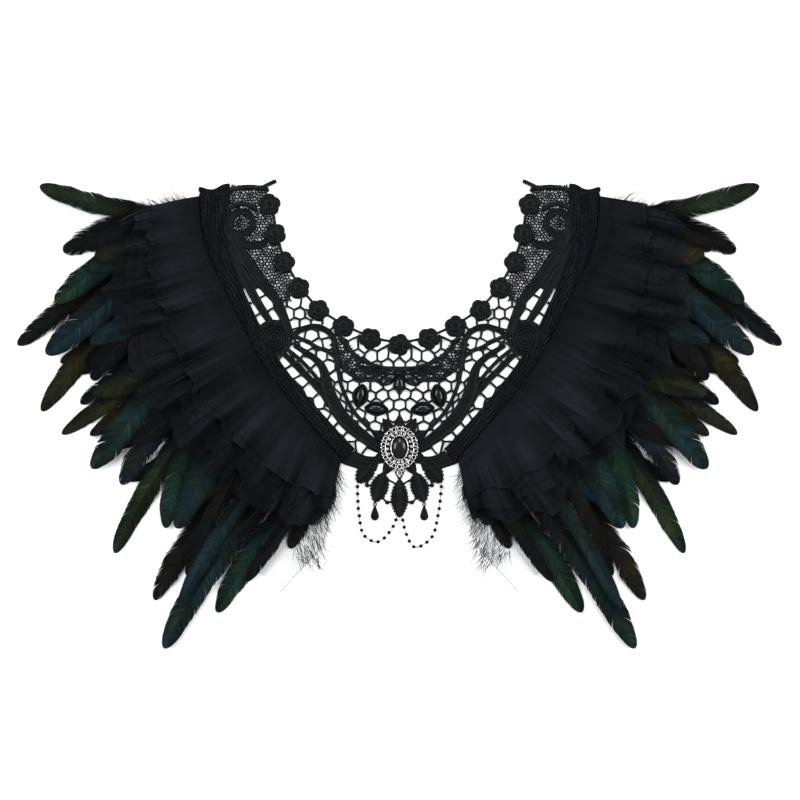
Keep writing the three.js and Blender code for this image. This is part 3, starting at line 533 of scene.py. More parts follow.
def pillow(gather, line, half, low, high, profile=band_profile, columns=16, step=1.6, taper=None):
    """A closed raised band along a smooth line of flat points. half gives half its width
    at a share of the line."""
    length = line_length(line)
    rows = max(6, int(length / step))
    mesh, row, column = lattice(rows, columns)
    u = row / rows
    over = columns * 3 // 4
    top = column <= over
    x = np.where(top, -np.cos(np.pi * column / over), 1 - 2 * (column - over) / (columns - over))
    reach = half(u)
    taper = taper if taper is not None else min(0.4, 0.5 * float(np.max(reach)) / length)
    from_end = np.clip(1 - np.minimum(u, 1 - u) / taper, 0, 1)
    end = np.sqrt(1 - from_end**2)
    _, side = along_and_side(line, u)
    flat = spline(line, u) + side * (reach * x * end)[:, None]
    walked = u * length
    wound = 0.035 * np.sin(2 * np.pi * (walked / 3.6 + 0.7 * np.abs(x)))
    knots = 0.14 * wander(walked / 2.4 + 1.7 * x, 31)
    relief = profile(x) * (0.25 + 0.75 * end) * (0.98 + wound + knots)
    raised = (top | (column == columns)) & (end > 0)
    z = np.where(raised, low + (high - low) * relief, low)
    uv = np.stack([walked, x * reach], 1)
    # The tint is painted light: lighter on the band's crests, darker in its hollows.
    gather.add(mesh, with_height(flat, z), uv=uv, tint=painted_crest_light(relief, 0.35, 1.05))


def both_pillows(gather, line, half, low, high, **more):
    """Adds a pillow and its mirror image."""
    pillow(gather, line, half, low, high, **more)
    mirrored = [(-x, y) for x, y in line]
    pillow(gather, mirrored, half, low, high, **more)


def leaf_line(leaf, count=9):
    """Middle line of a leaf."""
    (x, y), length, _, angle = leaf
    a = math.radians(angle)
    along = (length * math.cos(a), length * math.sin(a))
    return [(x + k * along[0], y + k * along[1]) for k in np.linspace(-0.5, 0.5, count)]


def leaf_half(leaf):
    """Half the width of a leaf, at a share of its length."""
    return lambda u: 0.52 * leaf[2] * np.sin(np.pi * np.clip(u, 0, 1)) ** 0.68


def leaf_profile(x):
    """Height across a leaf with a vein."""
    rim = 0.3 * np.exp(-(((np.abs(x) - 0.86) / 0.12) ** 2))
    vein = 0.22 * np.exp(-((x / 0.12) ** 2))
    halves = 0.68 * np.sqrt(np.clip(1 - x * x, 0, 1)) * (0.9 + 0.1 * np.cos(2 * np.pi * x))
    return halves + rim + vein


def seat_profile(x):
    """Height across a leaf in which a stone is set."""
    rim = np.exp(-(((np.abs(x) - 0.8) / 0.2) ** 2))
    plate = 0.45 * np.clip(1 - np.abs(x) ** 8, 0, 1)
    return plate + 0.55 * rim * np.sqrt(np.clip(1 - x * x, 0, 1)) * 1.6


def round_motif(gather, at, height, radius, low, rings=9, around=48, turn=0.0, lobes=0, depth=0.0):
    """A closed round motif. height(r, a) gives its top at a share of the radius and an
    angle, and lobes and depth shape its edge."""
    mesh, row, column = lattice(around, rings + 4)
    a = 2 * np.pi * row / around
    over = rings
    top = column <= over
    r = np.where(top, column / over, 1 - (column - over) / 4)
    edge = radius * (1 - depth + depth * np.abs(np.cos(lobes * a / 2)) ** 0.7)
    flat = np.stack([at[0] + r * edge * np.cos(a + turn), at[1] + r * edge * np.sin(a + turn)], 1)
    raised = height(r, a)
    z = np.where(top, raised, low)
    uv = np.stack([a * radius / 3, r * radius], 1)
    # The tint is painted light: lighter where the motif is raised, darker where it is low.
    gather.add(mesh, with_height(flat, z), uv=uv, tint=painted_crest_light(raised, 1.0, 2.7))


# Materials.


def new_material(name):
    """A new material with its node tree and its shader."""
    material = bpy.data.materials.new(name)
    material.use_nodes = True
    tree = material.node_tree
    tree.nodes.clear()
    output = tree.nodes.new("ShaderNodeOutputMaterial")
    shader = tree.nodes.new("ShaderNodeBsdfPrincipled")
    tree.links.new(shader.outputs["BSDF"], output.inputs["Surface"])
    return material, tree, shader


def node(tree, kind, **values):
    """A new node with its settings and the values of its sockets."""
    made = tree.nodes.new(kind)
    for key, value in values.items():
        if hasattr(made, key):
            setattr(made, key, value)
        else:
            made.inputs[key.replace("_", " ")].default_value = value
    return made


def noise(tree, vector, scale, detail):
    """Noise over a vector, as the socket of its strength."""
    made = node(tree, "ShaderNodeTexNoise", Scale=scale, Detail=detail)
    tree.links.new(vector, made.inputs["Vector"])
    return made.outputs["Fac"]


def mixed(tree, factor, first, second, kind="MIX"):
    """The colour output of a mix of two colours or sockets."""
    made = tree.nodes.new("ShaderNodeMix")
    made.data_type = "RGBA"
    made.blend_type = kind
    values = ((made.inputs[0], factor), (made.inputs[6], first), (made.inputs[7], second))
    for socket, value in values:
        if isinstance(value, bpy.types.NodeSocket):
            tree.links.new(value, socket)
        else:
            socket.default_value = value
    return made.outputs[2]


def bump(tree, shader, height, strength, distance):
    """Gives the shader a fine relief."""
    made = node(tree, "ShaderNodeBump", Strength=strength, Distance=distance)
    tree.links.new(height, made.inputs["Height"])
    tree.links.new(made.outputs["Normal"], shader.inputs["Normal"])


def ramp(tree, value, *stops):
    """A step from one colour to another."""
    made = tree.nodes.new("ShaderNodeValToRGB")
    made.color_ramp.elements[0].position, made.color_ramp.elements[0].color = stops[0]
    made.color_ramp.elements[1].position, made.color_ramp.elements[1].color = stops[-1]
    for place, colour in stops[1:-1]:
        made.color_ramp.elements.new(place).color = colour
    tree.links.new(value, made.inputs["Fac"])
    return made.outputs["Color"]


def grey(value):
    """A grey as a colour."""
    return (value, value, value, 1)


def times(colour, factor):
    """A colour made lighter or darker."""
    return (*[c * factor for c in colour[:3]], 1)


def set_values(shader, **values):
    """Sets the shader's own values."""
    names = {
        "roughness": "Roughness",
        "metallic": "Metallic",
        "specular": "Specular IOR Level",
        "sheen": "Sheen Weight",
        "sheen_roughness": "Sheen Roughness",
        "sheen_tint": "Sheen Tint",
        "coat": "Coat Weight",
        "coat_roughness": "Coat Roughness",
        "ior": "IOR",
    }
    for key, value in values.items():
        shader.inputs[names[key]].default_value = value


def lace_material(name, colour, stitch=0.8):
    """Satin stitched black thread: stitches across each band and a slight fade, times the piece's
    tint, which on the raised motifs and the border is painted highlight and shade.
    """
    material, tree, shader = new_material(name)
    set_values(shader, roughness=0.5, specular=0.1)
    uv = node(tree, "ShaderNodeTexCoord")
    stitches = node(tree, "ShaderNodeTexWave", Scale=1 / stitch, Distortion=1.6, Detail=1.5)
    stitches.inputs["Detail Scale"].default_value = 0.7
    stitches.bands_direction = "X"
    tree.links.new(uv.outputs["UV"], stitches.inputs["Vector"])
    fibres = node(tree, "ShaderNodeTexNoise", Scale=900, Detail=3)
    tree.links.new(uv.outputs["Object"], fibres.inputs["Vector"])
    patches = noise(tree, uv.outputs["Object"], 260, 2)
    tint = node(tree, "ShaderNodeAttribute", attribute_name="tint")
    threads_colour = mixed(tree, stitches.outputs["Fac"], times(colour, 0.5), times(colour, 1.5))
    faded = ramp(tree, patches, (0.35, grey(0.6)), (0.7, grey(1.5)))
    base = mixed(tree, 1.0, threads_colour, faded, "MULTIPLY")
    # Painted highlight and shade: the colour times the piece's tint.
    shaded = mixed(tree, 1.0, base, tint.outputs["Color"], "MULTIPLY")
    tree.links.new(shaded, shader.inputs["Base Color"])
    height = mixed(tree, 0.35, stitches.outputs["Color"], fibres.outputs["Color"])
    bump(tree, shader, height, 0.8, 0.0003)
    return material


def net_material(name, colour, holes, solid):
    """Fine hexagonal net. holes is the opacity between the threads, to which the piece's
    own tint adds, and solid that of the threads."""
    material, tree, shader = new_material(name)
    set_values(shader, roughness=0.8, specular=0.04)
    set_values(shader, sheen=0.03, sheen_roughness=0.4, sheen_tint=(0.8, 0.86, 1, 1))
    place = node(tree, "ShaderNodeTexCoord")
    cells = node(tree, "ShaderNodeTexVoronoi", Scale=1.0)
    cells.feature = "DISTANCE_TO_EDGE"
    cells.voronoi_dimensions = "2D"
    cells.inputs["Randomness"].default_value = 0.25
    tree.links.new(place.outputs["UV"], cells.inputs["Vector"])
    thread = ramp(tree, cells.outputs["Distance"], (0.06, grey(solid)), (0.16, grey(holes)))
    tint = node(tree, "ShaderNodeAttribute", attribute_name="tint")
    parts = tree.nodes.new("ShaderNodeSeparateColor")
    tree.links.new(tint.outputs["Color"], parts.inputs["Color"])
    drift = noise(tree, place.outputs["Object"], 22, 3)
    shade = ramp(tree, drift, (0.3, times(colour, 0.6)), (0.7, times(colour, 1.35)))
    # Painted light and shade: the colour is scaled by the red of the piece's tint.
    tinted = tree.nodes.new("ShaderNodeVectorMath")
    tinted.operation = "SCALE"
    tree.links.new(shade, tinted.inputs[0])
    tree.links.new(parts.outputs["Red"], tinted.inputs["Scale"])
    tree.links.new(tinted.outputs["Vector"], shader.inputs["Base Color"])
    opacity = tree.nodes.new("ShaderNodeMath")
    opacity.operation = "ADD"
    opacity.use_clamp = True
    tree.links.new(thread, opacity.inputs[0])
    tree.links.new(parts.outputs["Green"], opacity.inputs[1])
    tree.links.new(opacity.outputs["Value"], shader.inputs["Alpha"])
    return material


def feather_material(name):
    """Vane of a rooster feather: its tint drifts to gold and to blue, with fine barbs."""
    material, tree, shader = new_material(name)
    set_values(shader, roughness=0.42, specular=0.07, metallic=0.3)
    tint = node(tree, "ShaderNodeAttribute", attribute_name="tint")
    uv = node(tree, "ShaderNodeTexCoord")
    barbs = node(tree, "ShaderNodeTexWave", Scale=0.8, Distortion=1.2, Detail=2.0)
    barbs.bands_direction = "X"
    tree.links.new(uv.outputs["UV"], barbs.inputs["Vector"])
    stretch = node(tree, "ShaderNodeMapping", Scale=(1.1, 0.12, 1))
    tree.links.new(uv.outputs["UV"], stretch.inputs["Vector"])
    streaks = noise(tree, stretch.outputs["Vector"], 1.0, 3)
    drift = noise(tree, uv.outputs["Object"], 38, 2)
    hue = ramp(
        tree,
        drift,
        (0.36, (0.85, 0.92, 1.2, 1)),
        (0.5, grey(1.0)),
        (0.64, (1.35, 1.12, 0.75, 1)),
    )
    shade = ramp(tree, streaks, (0.32, grey(0.4)), (0.68, grey(1.6)))
    # The tint holds each feather's colour with its painted sheen.
    tinted = mixed(tree, 1.0, tint.outputs["Color"], hue, "MULTIPLY")
    colour = mixed(tree, 1.0, tinted, shade, "MULTIPLY")
    fine = ramp(tree, barbs.outputs["Fac"], (0.0, grey(0.6)), (1.0, grey(1.25)))
    tree.links.new(mixed(tree, 1.0, colour, fine, "MULTIPLY"), shader.inputs["Base Color"])
    bump(tree, shader, barbs.outputs["Fac"], 0.6, 0.00025)
    return material


def shaft_material(name):
    """Quill of a feather."""
    material, tree, shader = new_material(name)
    set_values(shader, roughness=0.45, specular=0.12)
    tint = node(tree, "ShaderNodeAttribute", attribute_name="tint")
    place = node(tree, "ShaderNodeTexCoord")
    grain = noise(tree, place.outputs["Object"], 300, 2)
    shade = ramp(tree, grain, (0.3, grey(0.7)), (0.7, grey(1.2)))
    shaded = mixed(tree, 1.0, tint.outputs["Color"], shade, "MULTIPLY")
    tree.links.new(shaded, shader.inputs["Base Color"])
    bump(tree, shader, grain, 0.2, 0.0001)
    return material


def silver_material(name, colour):
    """Silver metal with a slight tarnish in patches."""
    material, tree, shader = new_material(name)
    set_values(shader, metallic=1.0, roughness=0.24)
    place = node(tree, "ShaderNodeTexCoord")
    wear = noise(tree, place.outputs["Object"], 420, 3)
    shade = ramp(tree, wear, (0.32, times(colour, 0.55)), (0.6, (*colour, 1)))
    tree.links.new(shade, shader.inputs["Base Color"])
    rough = ramp(tree, wear, (0.3, grey(0.4)), (0.7, grey(0.16)))
    tree.links.new(rough, shader.inputs["Roughness"])
    bump(tree, shader, wear, 0.25, 0.00012)
    return material


def gem_material(name, colour, roughness, gloss):
    """Polished cut glass, with a slight variation inside it."""
    material, tree, shader = new_material(name)
    set_values(shader, roughness=roughness, specular=gloss, ior=1.5)
    place = node(tree, "ShaderNodeTexCoord")
    inside = noise(tree, place.outputs["Object"], 260, 2)
    shade = ramp(tree, inside, (0.35, (*colour, 1)), (0.75, times(colour, 2.2)))
    tree.links.new(shade, shader.inputs["Base Color"])
    return material


def crystal_material(name):
    """Foil-backed crystal with painted glints: bright in some places and dark in others."""
    material, tree, shader = new_material(name)
    set_values(shader, metallic=0.85, roughness=0.06, coat=1.0, coat_roughness=0.02)
    place = node(tree, "ShaderNodeTexCoord")
    facets = node(tree, "ShaderNodeTexVoronoi", Scale=900)
    tree.links.new(place.outputs["Object"], facets.inputs["Vector"])
    parts = tree.nodes.new("ShaderNodeSeparateColor")
    tree.links.new(facets.outputs["Color"], parts.inputs["Color"])
    dull, bright = (0.35, 0.36, 0.4, 1), (0.95, 0.95, 1, 1)
    # Painted glints: cells from dull to bright stand in for facets that catch the light.
    shade = ramp(tree, parts.outputs["Red"], (0.25, dull), (0.6, bright))
    tree.links.new(shade, shader.inputs["Base Color"])
    return material


def floor_material(name, colour):
    """Plain pale floor."""
    material, tree, shader = new_material(name)
    set_values(shader, roughness=0.9, specular=0.05)
    place = node(tree, "ShaderNodeTexCoord")
    drift = noise(tree, place.outputs["Object"], 3, 2)
    shade = ramp(tree, drift, (0.3, times(colour, 0.99)), (0.7, (*colour, 1)))
    tree.links.new(shade, shader.inputs["Base Color"])
    return material


MATERIALS = {}


def material(name, make, *values):
    """The material of this name, made when it is first asked for."""
    if name not in MATERIALS:
        MATERIALS[name] = make(name, *values)
    return MATERIALS[name]


# What a user would change.


def metres(name, description, default, low, high):
    """A length that can be changed in the panel."""
    return bpy.props.FloatProperty(
        name=name,
        description=description,
        default=default,
        min=low,
        max=high,
        precision=5,
        subtype="DISTANCE",
        unit="LENGTH",
    )


def tone(name, description, default):
    """A colour that can be changed in the panel."""
    return bpy.props.FloatVectorProperty(
        name=name, description=description, default=default, size=3, min=0, max=1, subtype="COLOR"
    )


class CapeSizes(bpy.types.PropertyGroup):
    """Sizes of the fine work."""

    bar_radius: metres(
        "Bar radius", "Radius of the lace's open bars", 0.00105, 0.0003, 0.002
    )
    net_thread: metres(
        "Net thread", "Radius of the threads of the lace's fine net", 0.0006, 0.0001, 0.001
    )
    net_pitch: metres(
        "Net pitch", "Spacing of the holes of the lace's fine net", 0.00262, 0.0018, 0.005
    )
    net_mesh: metres(
        "Tulle mesh", "Spacing of the holes of the ruffles' net", 0.0013, 0.0008, 0.003
    )
    bead_pitch: metres(
        "Bead spacing", "Distance between two beads of a string", 0.0061, 0.003, 0.02
    )
    string_thread: metres(
        "String", "Diameter of the thread of a bead string", 0.0004, 0.0003, 0.001
    )
    barbs: bpy.props.IntProperty(
        name="Barbs",
        description="Barbs on each side of a long feather",
        default=96,
        min=20,
        max=160,
    )
    crystals: bpy.props.IntProperty(
        name="Crystals", description="Crystals round the brooch", default=18, min=8, max=24
    )


class CapeColours(bpy.types.PropertyGroup):
    """Colours of the materials and of the feathers."""

    lace: tone("Lace", "Black thread of the lace", (0.0042, 0.0056, 0.0078))
    net: tone("Net", "Black net of the ruffles", (0.0056, 0.0067, 0.0087))
    green: tone("Green", "Green feathers", (0.0085, 0.026, 0.018))
    teal: tone("Teal", "Teal feathers", (0.0085, 0.022, 0.022))
    blue: tone("Blue", "Blue feathers", (0.0092, 0.021, 0.0255))
    olive: tone("Olive", "Olive feathers", (0.0135, 0.016, 0.008))
    olive_green: tone("Olive green", "Green feathers with a bronze cast", (0.0115, 0.021, 0.0105))
    grey: tone("Grey", "Downy grey feathers", (0.007, 0.01, 0.013))
    brown: tone("Brown", "Brown feathers", (0.01, 0.009, 0.0065))
    dark: tone("Dark", "Black feathers", (0.0045, 0.005, 0.0055))
    silver: tone("Silver", "Silver of the brooch", (0.72, 0.71, 0.69))
    jet: tone("Jet", "Black stones and beads", (0.003, 0.0032, 0.004))
    floor: tone("Floor", "Surface that the cape lies on", (0.93, 0.93, 0.935))


def sizes():
    """The sizes in the panel."""
    return bpy.context.scene.cape_sizes


def colours():
    """The colours in the panel."""
    return bpy.context.scene.cape_colours


# The stage.


def soft_light(name, power, size, place, target=(0, 0, 0)):
    """A wide light that faces the cape."""
    light = bpy.data.lights.new(name, "AREA")
    light.energy = power
    light.shape = "RECTANGLE"
    light.size, light.size_y = size
    obj = bpy.data.objects.new(name, light)
    obj.location = place
    obj.rotation_euler = (Vector(target) - Vector(place)).to_track_quat("-Z", "Y").to_euler()
    bpy.context.scene.collection.objects.link(obj)


class CAPE_OT_stage(bpy.types.Operator):
    """Adds the camera, the lights and the surface that the cape lies on"""

    bl_idname = "cape.stage"
    bl_label = "Stage"

    def execute(self, context):
        scene = context.scene
        camera = bpy.data.cameras.new("camera")
        height = 5.0
        framed = 0.68  # what the photo's width takes in
        camera.sensor_width = 36
        camera.lens = camera.sensor_width * height / framed
        camera.clip_end = 20
        view = bpy.data.objects.new("camera", camera)
        view.location = (0.0004, 0.0119, height)
        scene.collection.objects.link(view)
        scene.camera = view
        soft_light("light_left", 95, (1.8, 2.4), (-2.3, 0.5, 2.3))
        soft_light("light_right", 95, (1.8, 2.4), (2.3, 0.5, 2.3))
        soft_light("light_top", 60, (2.6, 1.2), (0, 2.6, 2.2))
        scene.world = bpy.data.worlds.new("soft_room")
        scene.world.use_nodes = True
        back = scene.world.node_tree.nodes["Background"]
        back.inputs["Color"].default_value = (0.95, 0.97, 1, 1)
        back.inputs["Strength"].default_value = 0.42
        scene.view_settings.view_transform = "Standard"
        scene.view_settings.look = "None"
        bm = bmesh.new()
        bmesh.ops.create_grid(bm, x_segments=4, y_segments=4, size=4)
        mesh = bpy.data.meshes.new("floor")
        bmesh.ops.translate(bm, verts=bm.verts, vec=(0, 0, -0.0004))
        bm.to_mesh(mesh)
        bm.free()
        floor = bpy.data.objects.new("floor", mesh)
        mesh.materials.append(material("floor_surface", floor_material, tuple(colours().floor)))
        scene.collection.objects.link(floor)
        return {"FINISHED"}


# The lace.


def flower_middles():
    """Middles of the flowers along the neckline."""
    return spline(NECKLINE, evenly(NECKLINE, FLOWERS_A_SIDE))


def keep_outs():
    """Places on the lace's motifs of the left half, and how far each motif reaches from
    them. The shoulder ring comes last."""
    rows = []

    def add_line(line, half, steps=14):
        t = np.linspace(0, 1, steps + 1)
        for p, reach in zip(spline(line, t), np.broadcast_to(half(t), t.shape)):
            rows.append((p[0], p[1], reach))

    add_line(SEAM, border_width, 40)
    add_line(NECKLINE, steady(0.6), 24)
    for widths, line in SCROLLS:
        add_line(line, lambda t, widths=widths: scroll_half(widths, t), 24)
    for (x, y), length, width, angle in [*STONE_LEAVES, MIDDLE_STONE_LEAF]:
        a = math.radians(angle)
        for share in (-0.3, 0, 0.3):
            k = share * length
            rows.append((x + k * math.cos(a), y + k * math.sin(a), width / 2 * (1 - abs(share))))
    for x, y in flower_middles():
        rows.append((x, y, 0.92 * FLOWER_RADIUS))
    rows.append((*LOTUS["at"], 0.47 * (LOTUS["tip"] + LOTUS["root"])))
    rows.append((*ROSETTE["at"], ROSETTE["radius"]))
    rows.append((*SHOULDER_RING["at"], SHOULDER_RING["outer"]))
    return np.array(rows)


def neck_depth(points):
    """How far points lie below the neckline."""
    return -signed_distance(NECKLINE, points)


def seam_depth(points):
    """How far points lie inside the outer edge of the lace."""
    return signed_distance(SEAM, points)


def cell_middles():
    """Middles of the gaps of the open ground: the same places as in the part's source."""
    found = []
    for first, last, count in LADDERS:
        for k in range(count):
            share = k / (count - 1) if count > 1 else 0
            found.append(tuple(np.array(first) + share * (np.array(last) - np.array(first))))
    rungs = np.array(found)
    row_height = CELL_PITCH * 0.87
    j = 0
    while 96 - j * row_height > -34:
        for i in range(15):
            y = 96 - j * row_height + (scatter(i, j) - 0.5) * 3.4
            column = i + (j % 2) / 2
            x = 0 if column == 0 else -column * CELL_PITCH + (scatter(j, i + 31) - 0.5) * 3.4
            p = np.array([[x, y]])
            clear = np.linalg.norm(rungs - p, axis=1).min() > 0.75 * CELL_PITCH
            if clear and neck_depth(p)[0] > 2:
                found.append((float(x), float(y)))
        j += 1
    return np.array(found)


def cell_walls(middles, reach):
    """Walls between neighbouring cells, each as two points, for cells round middles."""
    walls = []
    for i, middle in enumerate(middles):
        away = middles - middle
        distance = np.linalg.norm(away, axis=1)
        near = np.argsort(distance)[1:17]
        near = near[distance[near] < 2 * reach]
        turns = np.arange(8) * math.pi / 4
        corners = [middle + reach * np.array([math.cos(a), math.sin(a)]) for a in turns]
        owner = [-1] * 8
        for j in near:
            normal = away[j] / distance[j]
            limit = normal @ middle + distance[j] / 2
            kept, owned = [], []
            for k, a in enumerate(corners):
                b = corners[(k + 1) % len(corners)]
                da, db = normal @ a - limit, normal @ b - limit
                if da <= 0:
                    kept.append(a)
                    owned.append(owner[k])
                if da * db < 0:
                    kept.append(a + (b - a) * (da / (da - db)))
                    owned.append(j if da <= 0 else owner[k])
            corners, owner = kept, owned
            if len(corners) < 3:
                break
        for k, a in enumerate(corners):
            b = corners[(k + 1) % len(corners)]
            if owner[k] > i and np.linalg.norm(b - a) > 0.3:
                walls.append((a, b))
    return walls


def outside_motifs(points, rows, room):
    """True for points that lie further than room outside every motif."""
    gap = np.linalg.norm(points[:, None] - rows[None, :, :2], axis=2) - rows[:, 2]
    return gap.min(1) > room


def lace_bars(gather):
    """The open ground: round bars along the walls between its gaps."""
    middles = cell_middles()
    mirrored = middles[middles[:, 0] < -1] * (-1, 1)
    rows = keep_outs()
    all_rows = np.concatenate([rows, rows * (-1, 1, 1)])
    lines = []
    for k, (a, b) in enumerate(cell_walls(np.concatenate([middles, mirrored]), 1.1 * CELL_PITCH)):
        t = np.linspace(0, 1, 6)[:, None]
        points = a + (b - a) * t
        use = outside_motifs(points, all_rows, -1.2)
        use &= (neck_depth(left(points)) > -0.4) & (seam_depth(left(points)) > 2)
        if use.sum() < 2:
            continue
        way = b - a
        bow = 0.12 * (scatter(k, 3) - 0.5) * np.sin(np.pi * t)
        flat = points + np.array([-way[1], way[0]]) * bow
        z = 1.1 + 0.25 * np.sin(np.pi * t)
        lines.append(np.concatenate([flat, z], 1)[use])
    thick = sizes().bar_radius / MM
    add_threads(gather, lines[::2], thick, sides=2)
    add_threads(gather, lines[1::2], 0.85 * thick, sides=2)


def left(points):
    """The same points on the left half."""
    return np.stack([-np.abs(points[:, 0]), points[:, 1]], 1)


def net_places(pitch):
    """Jittered middles of the fine net's holes: the upper arms and the crescent, left."""
    height = pitch * 0.87

    def field(x0, y0, wide, tall, seed):
        i, j = np.meshgrid(np.arange(int(wide / pitch)), np.arange(int(tall / height)))
        x = x0 + (i + (j % 2) / 2) * pitch + (scatter(i, j + seed) - 0.5) * 0.72 * pitch
        y = y0 + j * height + (scatter(j, i + 77 + seed) - 0.5) * 0.72 * pitch
        return np.stack([x.ravel(), y.ravel()], 1)

    arm = field(-165, 98, 75, 100, 5)
    window = (signed_distance(SCROLLS[0][1], arm) > -2) | (arm[:, 1] > 150)
    arm = arm[window & (neck_depth(arm) > -1) & (seam_depth(arm) > 4)]
    crescent = field(-62, 28, 66, 50, 9)
    t = np.linspace(0, 1, 40)
    upper, lower = (spline(SCROLLS[k][1], t) for k in CRESCENT)
    middle, half = (upper + lower) / 2, np.linalg.norm(upper - lower, axis=1) / 2
    gap = np.linalg.norm(crescent[:, None] - middle[None], axis=2) - half
    return arm, crescent[gap.min(1) < 0.3]


def fine_net(gather):
    """The net that fills the upper arms, the shoulder rings and the crescent."""
    pitch = sizes().net_pitch / MM
    rows = keep_outs()[:-1]  # without the shoulder ring, whose hole the net fills
    lines = []
    for cells in net_places(pitch):
        for a, b in cell_walls(cells, 1.3 * pitch):
            points = np.array([a, b])
            if outside_motifs(points, rows, -0.9).any():
                lines.append(with_height(points, NET_LEVEL))
    add_threads(gather, both_sides(lines), sizes().net_thread / MM, sides=0)


def flower_height(r, a):
    """Height of a flower's petals, ring and middle."""
    petals = np.sin(np.pi * np.clip((r - 0.2) / 0.86, 0, 1)) ** 0.6
    grooves = 0.6 + 0.4 * np.abs(np.cos(2.5 * a)) ** 0.5
    stitches = 0.1 * np.cos(30 * a) * np.clip(r * 2 - 0.5, 0, 1)
    inner = 0.45 * np.exp(-(((r - 0.62) / 0.06) ** 2))
    ring = 1.55 * np.exp(-(((r - 0.3) / 0.08) ** 2))
    middle = 1.7 * np.exp(-((r / 0.13) ** 2))
    return 0.8 + 1.35 * petals * grooves + stitches + ring + middle - inner - 0.6 * (r > 0.99)


def rosette_height(r, a):
    """A spiral cord from the middle to the edge."""
    turns = (r * ROSETTE["radius"] + 2.7 * a / (2 * np.pi)) / 2.7
    cords = 1.5 * np.abs(np.sin(np.pi * turns)) ** 0.8
    middle = 0.7 * np.exp(-((r / 0.16) ** 2))
    return 0.8 + cords + middle - 0.5 * (r > 0.99)


def lace_border(gather, hand):
    """The corded border, with its outer edge lifted over the gathered edges."""
    rise_from, rise_to = 10.5, 7
    scallop_pitch, cord_pitch = 8.5, 3.1
    lift = 2 * CLOTH + 2 * SEAM_GAP
    rows, columns = 470, 58
    mesh, row, column = lattice(rows, columns)
    s = row / rows
    # Round the section: the top from the outer edge inwards, then the underside back.
    over = 51
    top = column <= over
    q = np.where(top, column / over, 1 - (column - over) / (columns - over))
    wide = border_width(s)
    length = line_length(SEAM)
    walked = s * length
    distance = q * wide
    scallop = 1.1 * (1 - np.abs(np.sin(np.pi * walked / scallop_pitch)))
    scallop = scallop * (1 - smooth(distance / 5))
    edge = distance + scallop - 0.2
    under = np.interp(distance, [0, rise_to, rise_from, 99], [lift, lift, 0.3, 0.3])
    stations = [0, 0.6, rise_to - 0.8, rise_from, 99]
    upper = np.interp(distance, stations, [lift + 0.3, lift + 0.9, lift + 0.9, 1.6, 1.5])
    # Cords side by side, which sway and are twisted and a little uneven.
    sway = 0.9 * np.sin(2 * np.pi * walked / scallop_pitch) * smooth(1 - distance / 8)
    sway = sway + 1.1 * np.sin(2 * np.pi * walked / 41 + 1.0) * smooth(distance / 6)
    sway = sway + 0.9 * wander(walked / 13, 73) * smooth(distance / 4)
    cord = np.abs(np.sin(np.pi * (distance + sway) / cord_pitch)) ** 0.8
    twist = np.sin(2 * np.pi * walked / 3.4 + 2.4 * distance)
    knots = wander(walked / 4 + 0.9 * distance, 61)
    relief = cord * (0.84 + 0.26 * twist + 0.24 * knots)
    z = np.where(top, upper + 0.95 * relief, under)
    brim = (column == 0) | (column == over) | (column == columns)
    z = np.where(brim, (upper + under) / 2, z)
    way, side = along_and_side(SEAM, s)
    dip = 3.4 * np.sin(np.pi * np.clip(q * 1.15, 0, 1)) ** 2 * (1 - smooth(s / 0.05))
    flat = spline(SEAM, s) + side * edge[:, None] + way * dip[:, None]
    points = with_height(flat, z) * (hand, 1, 1)
    # Painted highlight on the cords' crests and painted shade between them.
    tint = painted_crest_light(relief, 0.1, 1.1)
    gather.add(mesh, points, uv=np.stack([walked, distance], 1), tint=tint)
    for end in (0.0, 1.0):
        close_end(gather, points[s == end], column[s == end], over)


def close_end(gather, ring, order, over):
    """Closes the end of a swept shape with a strip from its top to its underside."""
    ring = ring[np.argsort(order)]
    count = len(ring)
    mesh, row, column = lattice(over, 1)
    top = ring[: over + 1]
    walk = np.linspace(over, count - 1, over + 1)
    under = np.stack([np.interp(walk, np.arange(count), ring[:, k]) for k in range(3)], 1)[::-1]
    index = row.astype(int)
    points = np.where((column == 0)[:, None], top[index], under[index])
    # The closing strip gets a painted shade, darker than plain thread.
    gather.add(mesh, points, uv=points[:, :2], tint=np.full((len(points), 3), 0.5))


def picots(leaf, every=2.6, radius=0.5):
    """Small loops of thread round a hanging leaf."""
    (x, y), length, _, angle = leaf
    a = math.radians(angle)
    lines = []
    for hand in (1, -1):
        for k in np.arange(0.08, 0.93, every / length):
            out = hand * (leaf_half(leaf)(k) + 0.1)
            along = (k - 0.5) * length
            px = x + along * math.cos(a) - out * math.sin(a)
            py = y + along * math.sin(a) + out * math.cos(a)
            lines.append(ring_line(px, py, 1.3, radius, radius, 8))
    return lines


def hanging_leaf(gather, leaf, mirror=True):
    """A veined leaf with a toothed edge."""
    add = both_pillows if mirror else pillow
    shape = {"profile": leaf_profile, "columns": 24, "step": 0.7, "taper": 0.03}
    add(gather, leaf_line(leaf), leaf_half(leaf), 0.2, 2.2, **shape)
    lines = picots(leaf)
    add_threads(gather, both_sides(lines) if mirror else lines, 0.4, sides=1)


def ring_band(gather, at, middle, half, high, start=0.0, sweep=2 * math.pi):
    """A raised cord round a motif, on both sides of the collar."""
    x, y = at
    turns = start + np.linspace(0, sweep, 21)
    ring = [(x + middle * math.cos(a), y + middle * math.sin(a)) for a in turns]
    both_pillows(gather, ring, steady(half), MOTIF_UNDERSIDE, high, columns=20, step=1.2)


def knot_height(r, a):
    """Height of a small round knot."""
    return 0.6 + 1.8 * np.sqrt(np.clip(1 - r * r, 0, 1))


def plate_height(r, a):
    """Height of the plain plate behind the brooch."""
    return 2.0 - 0.3 * r


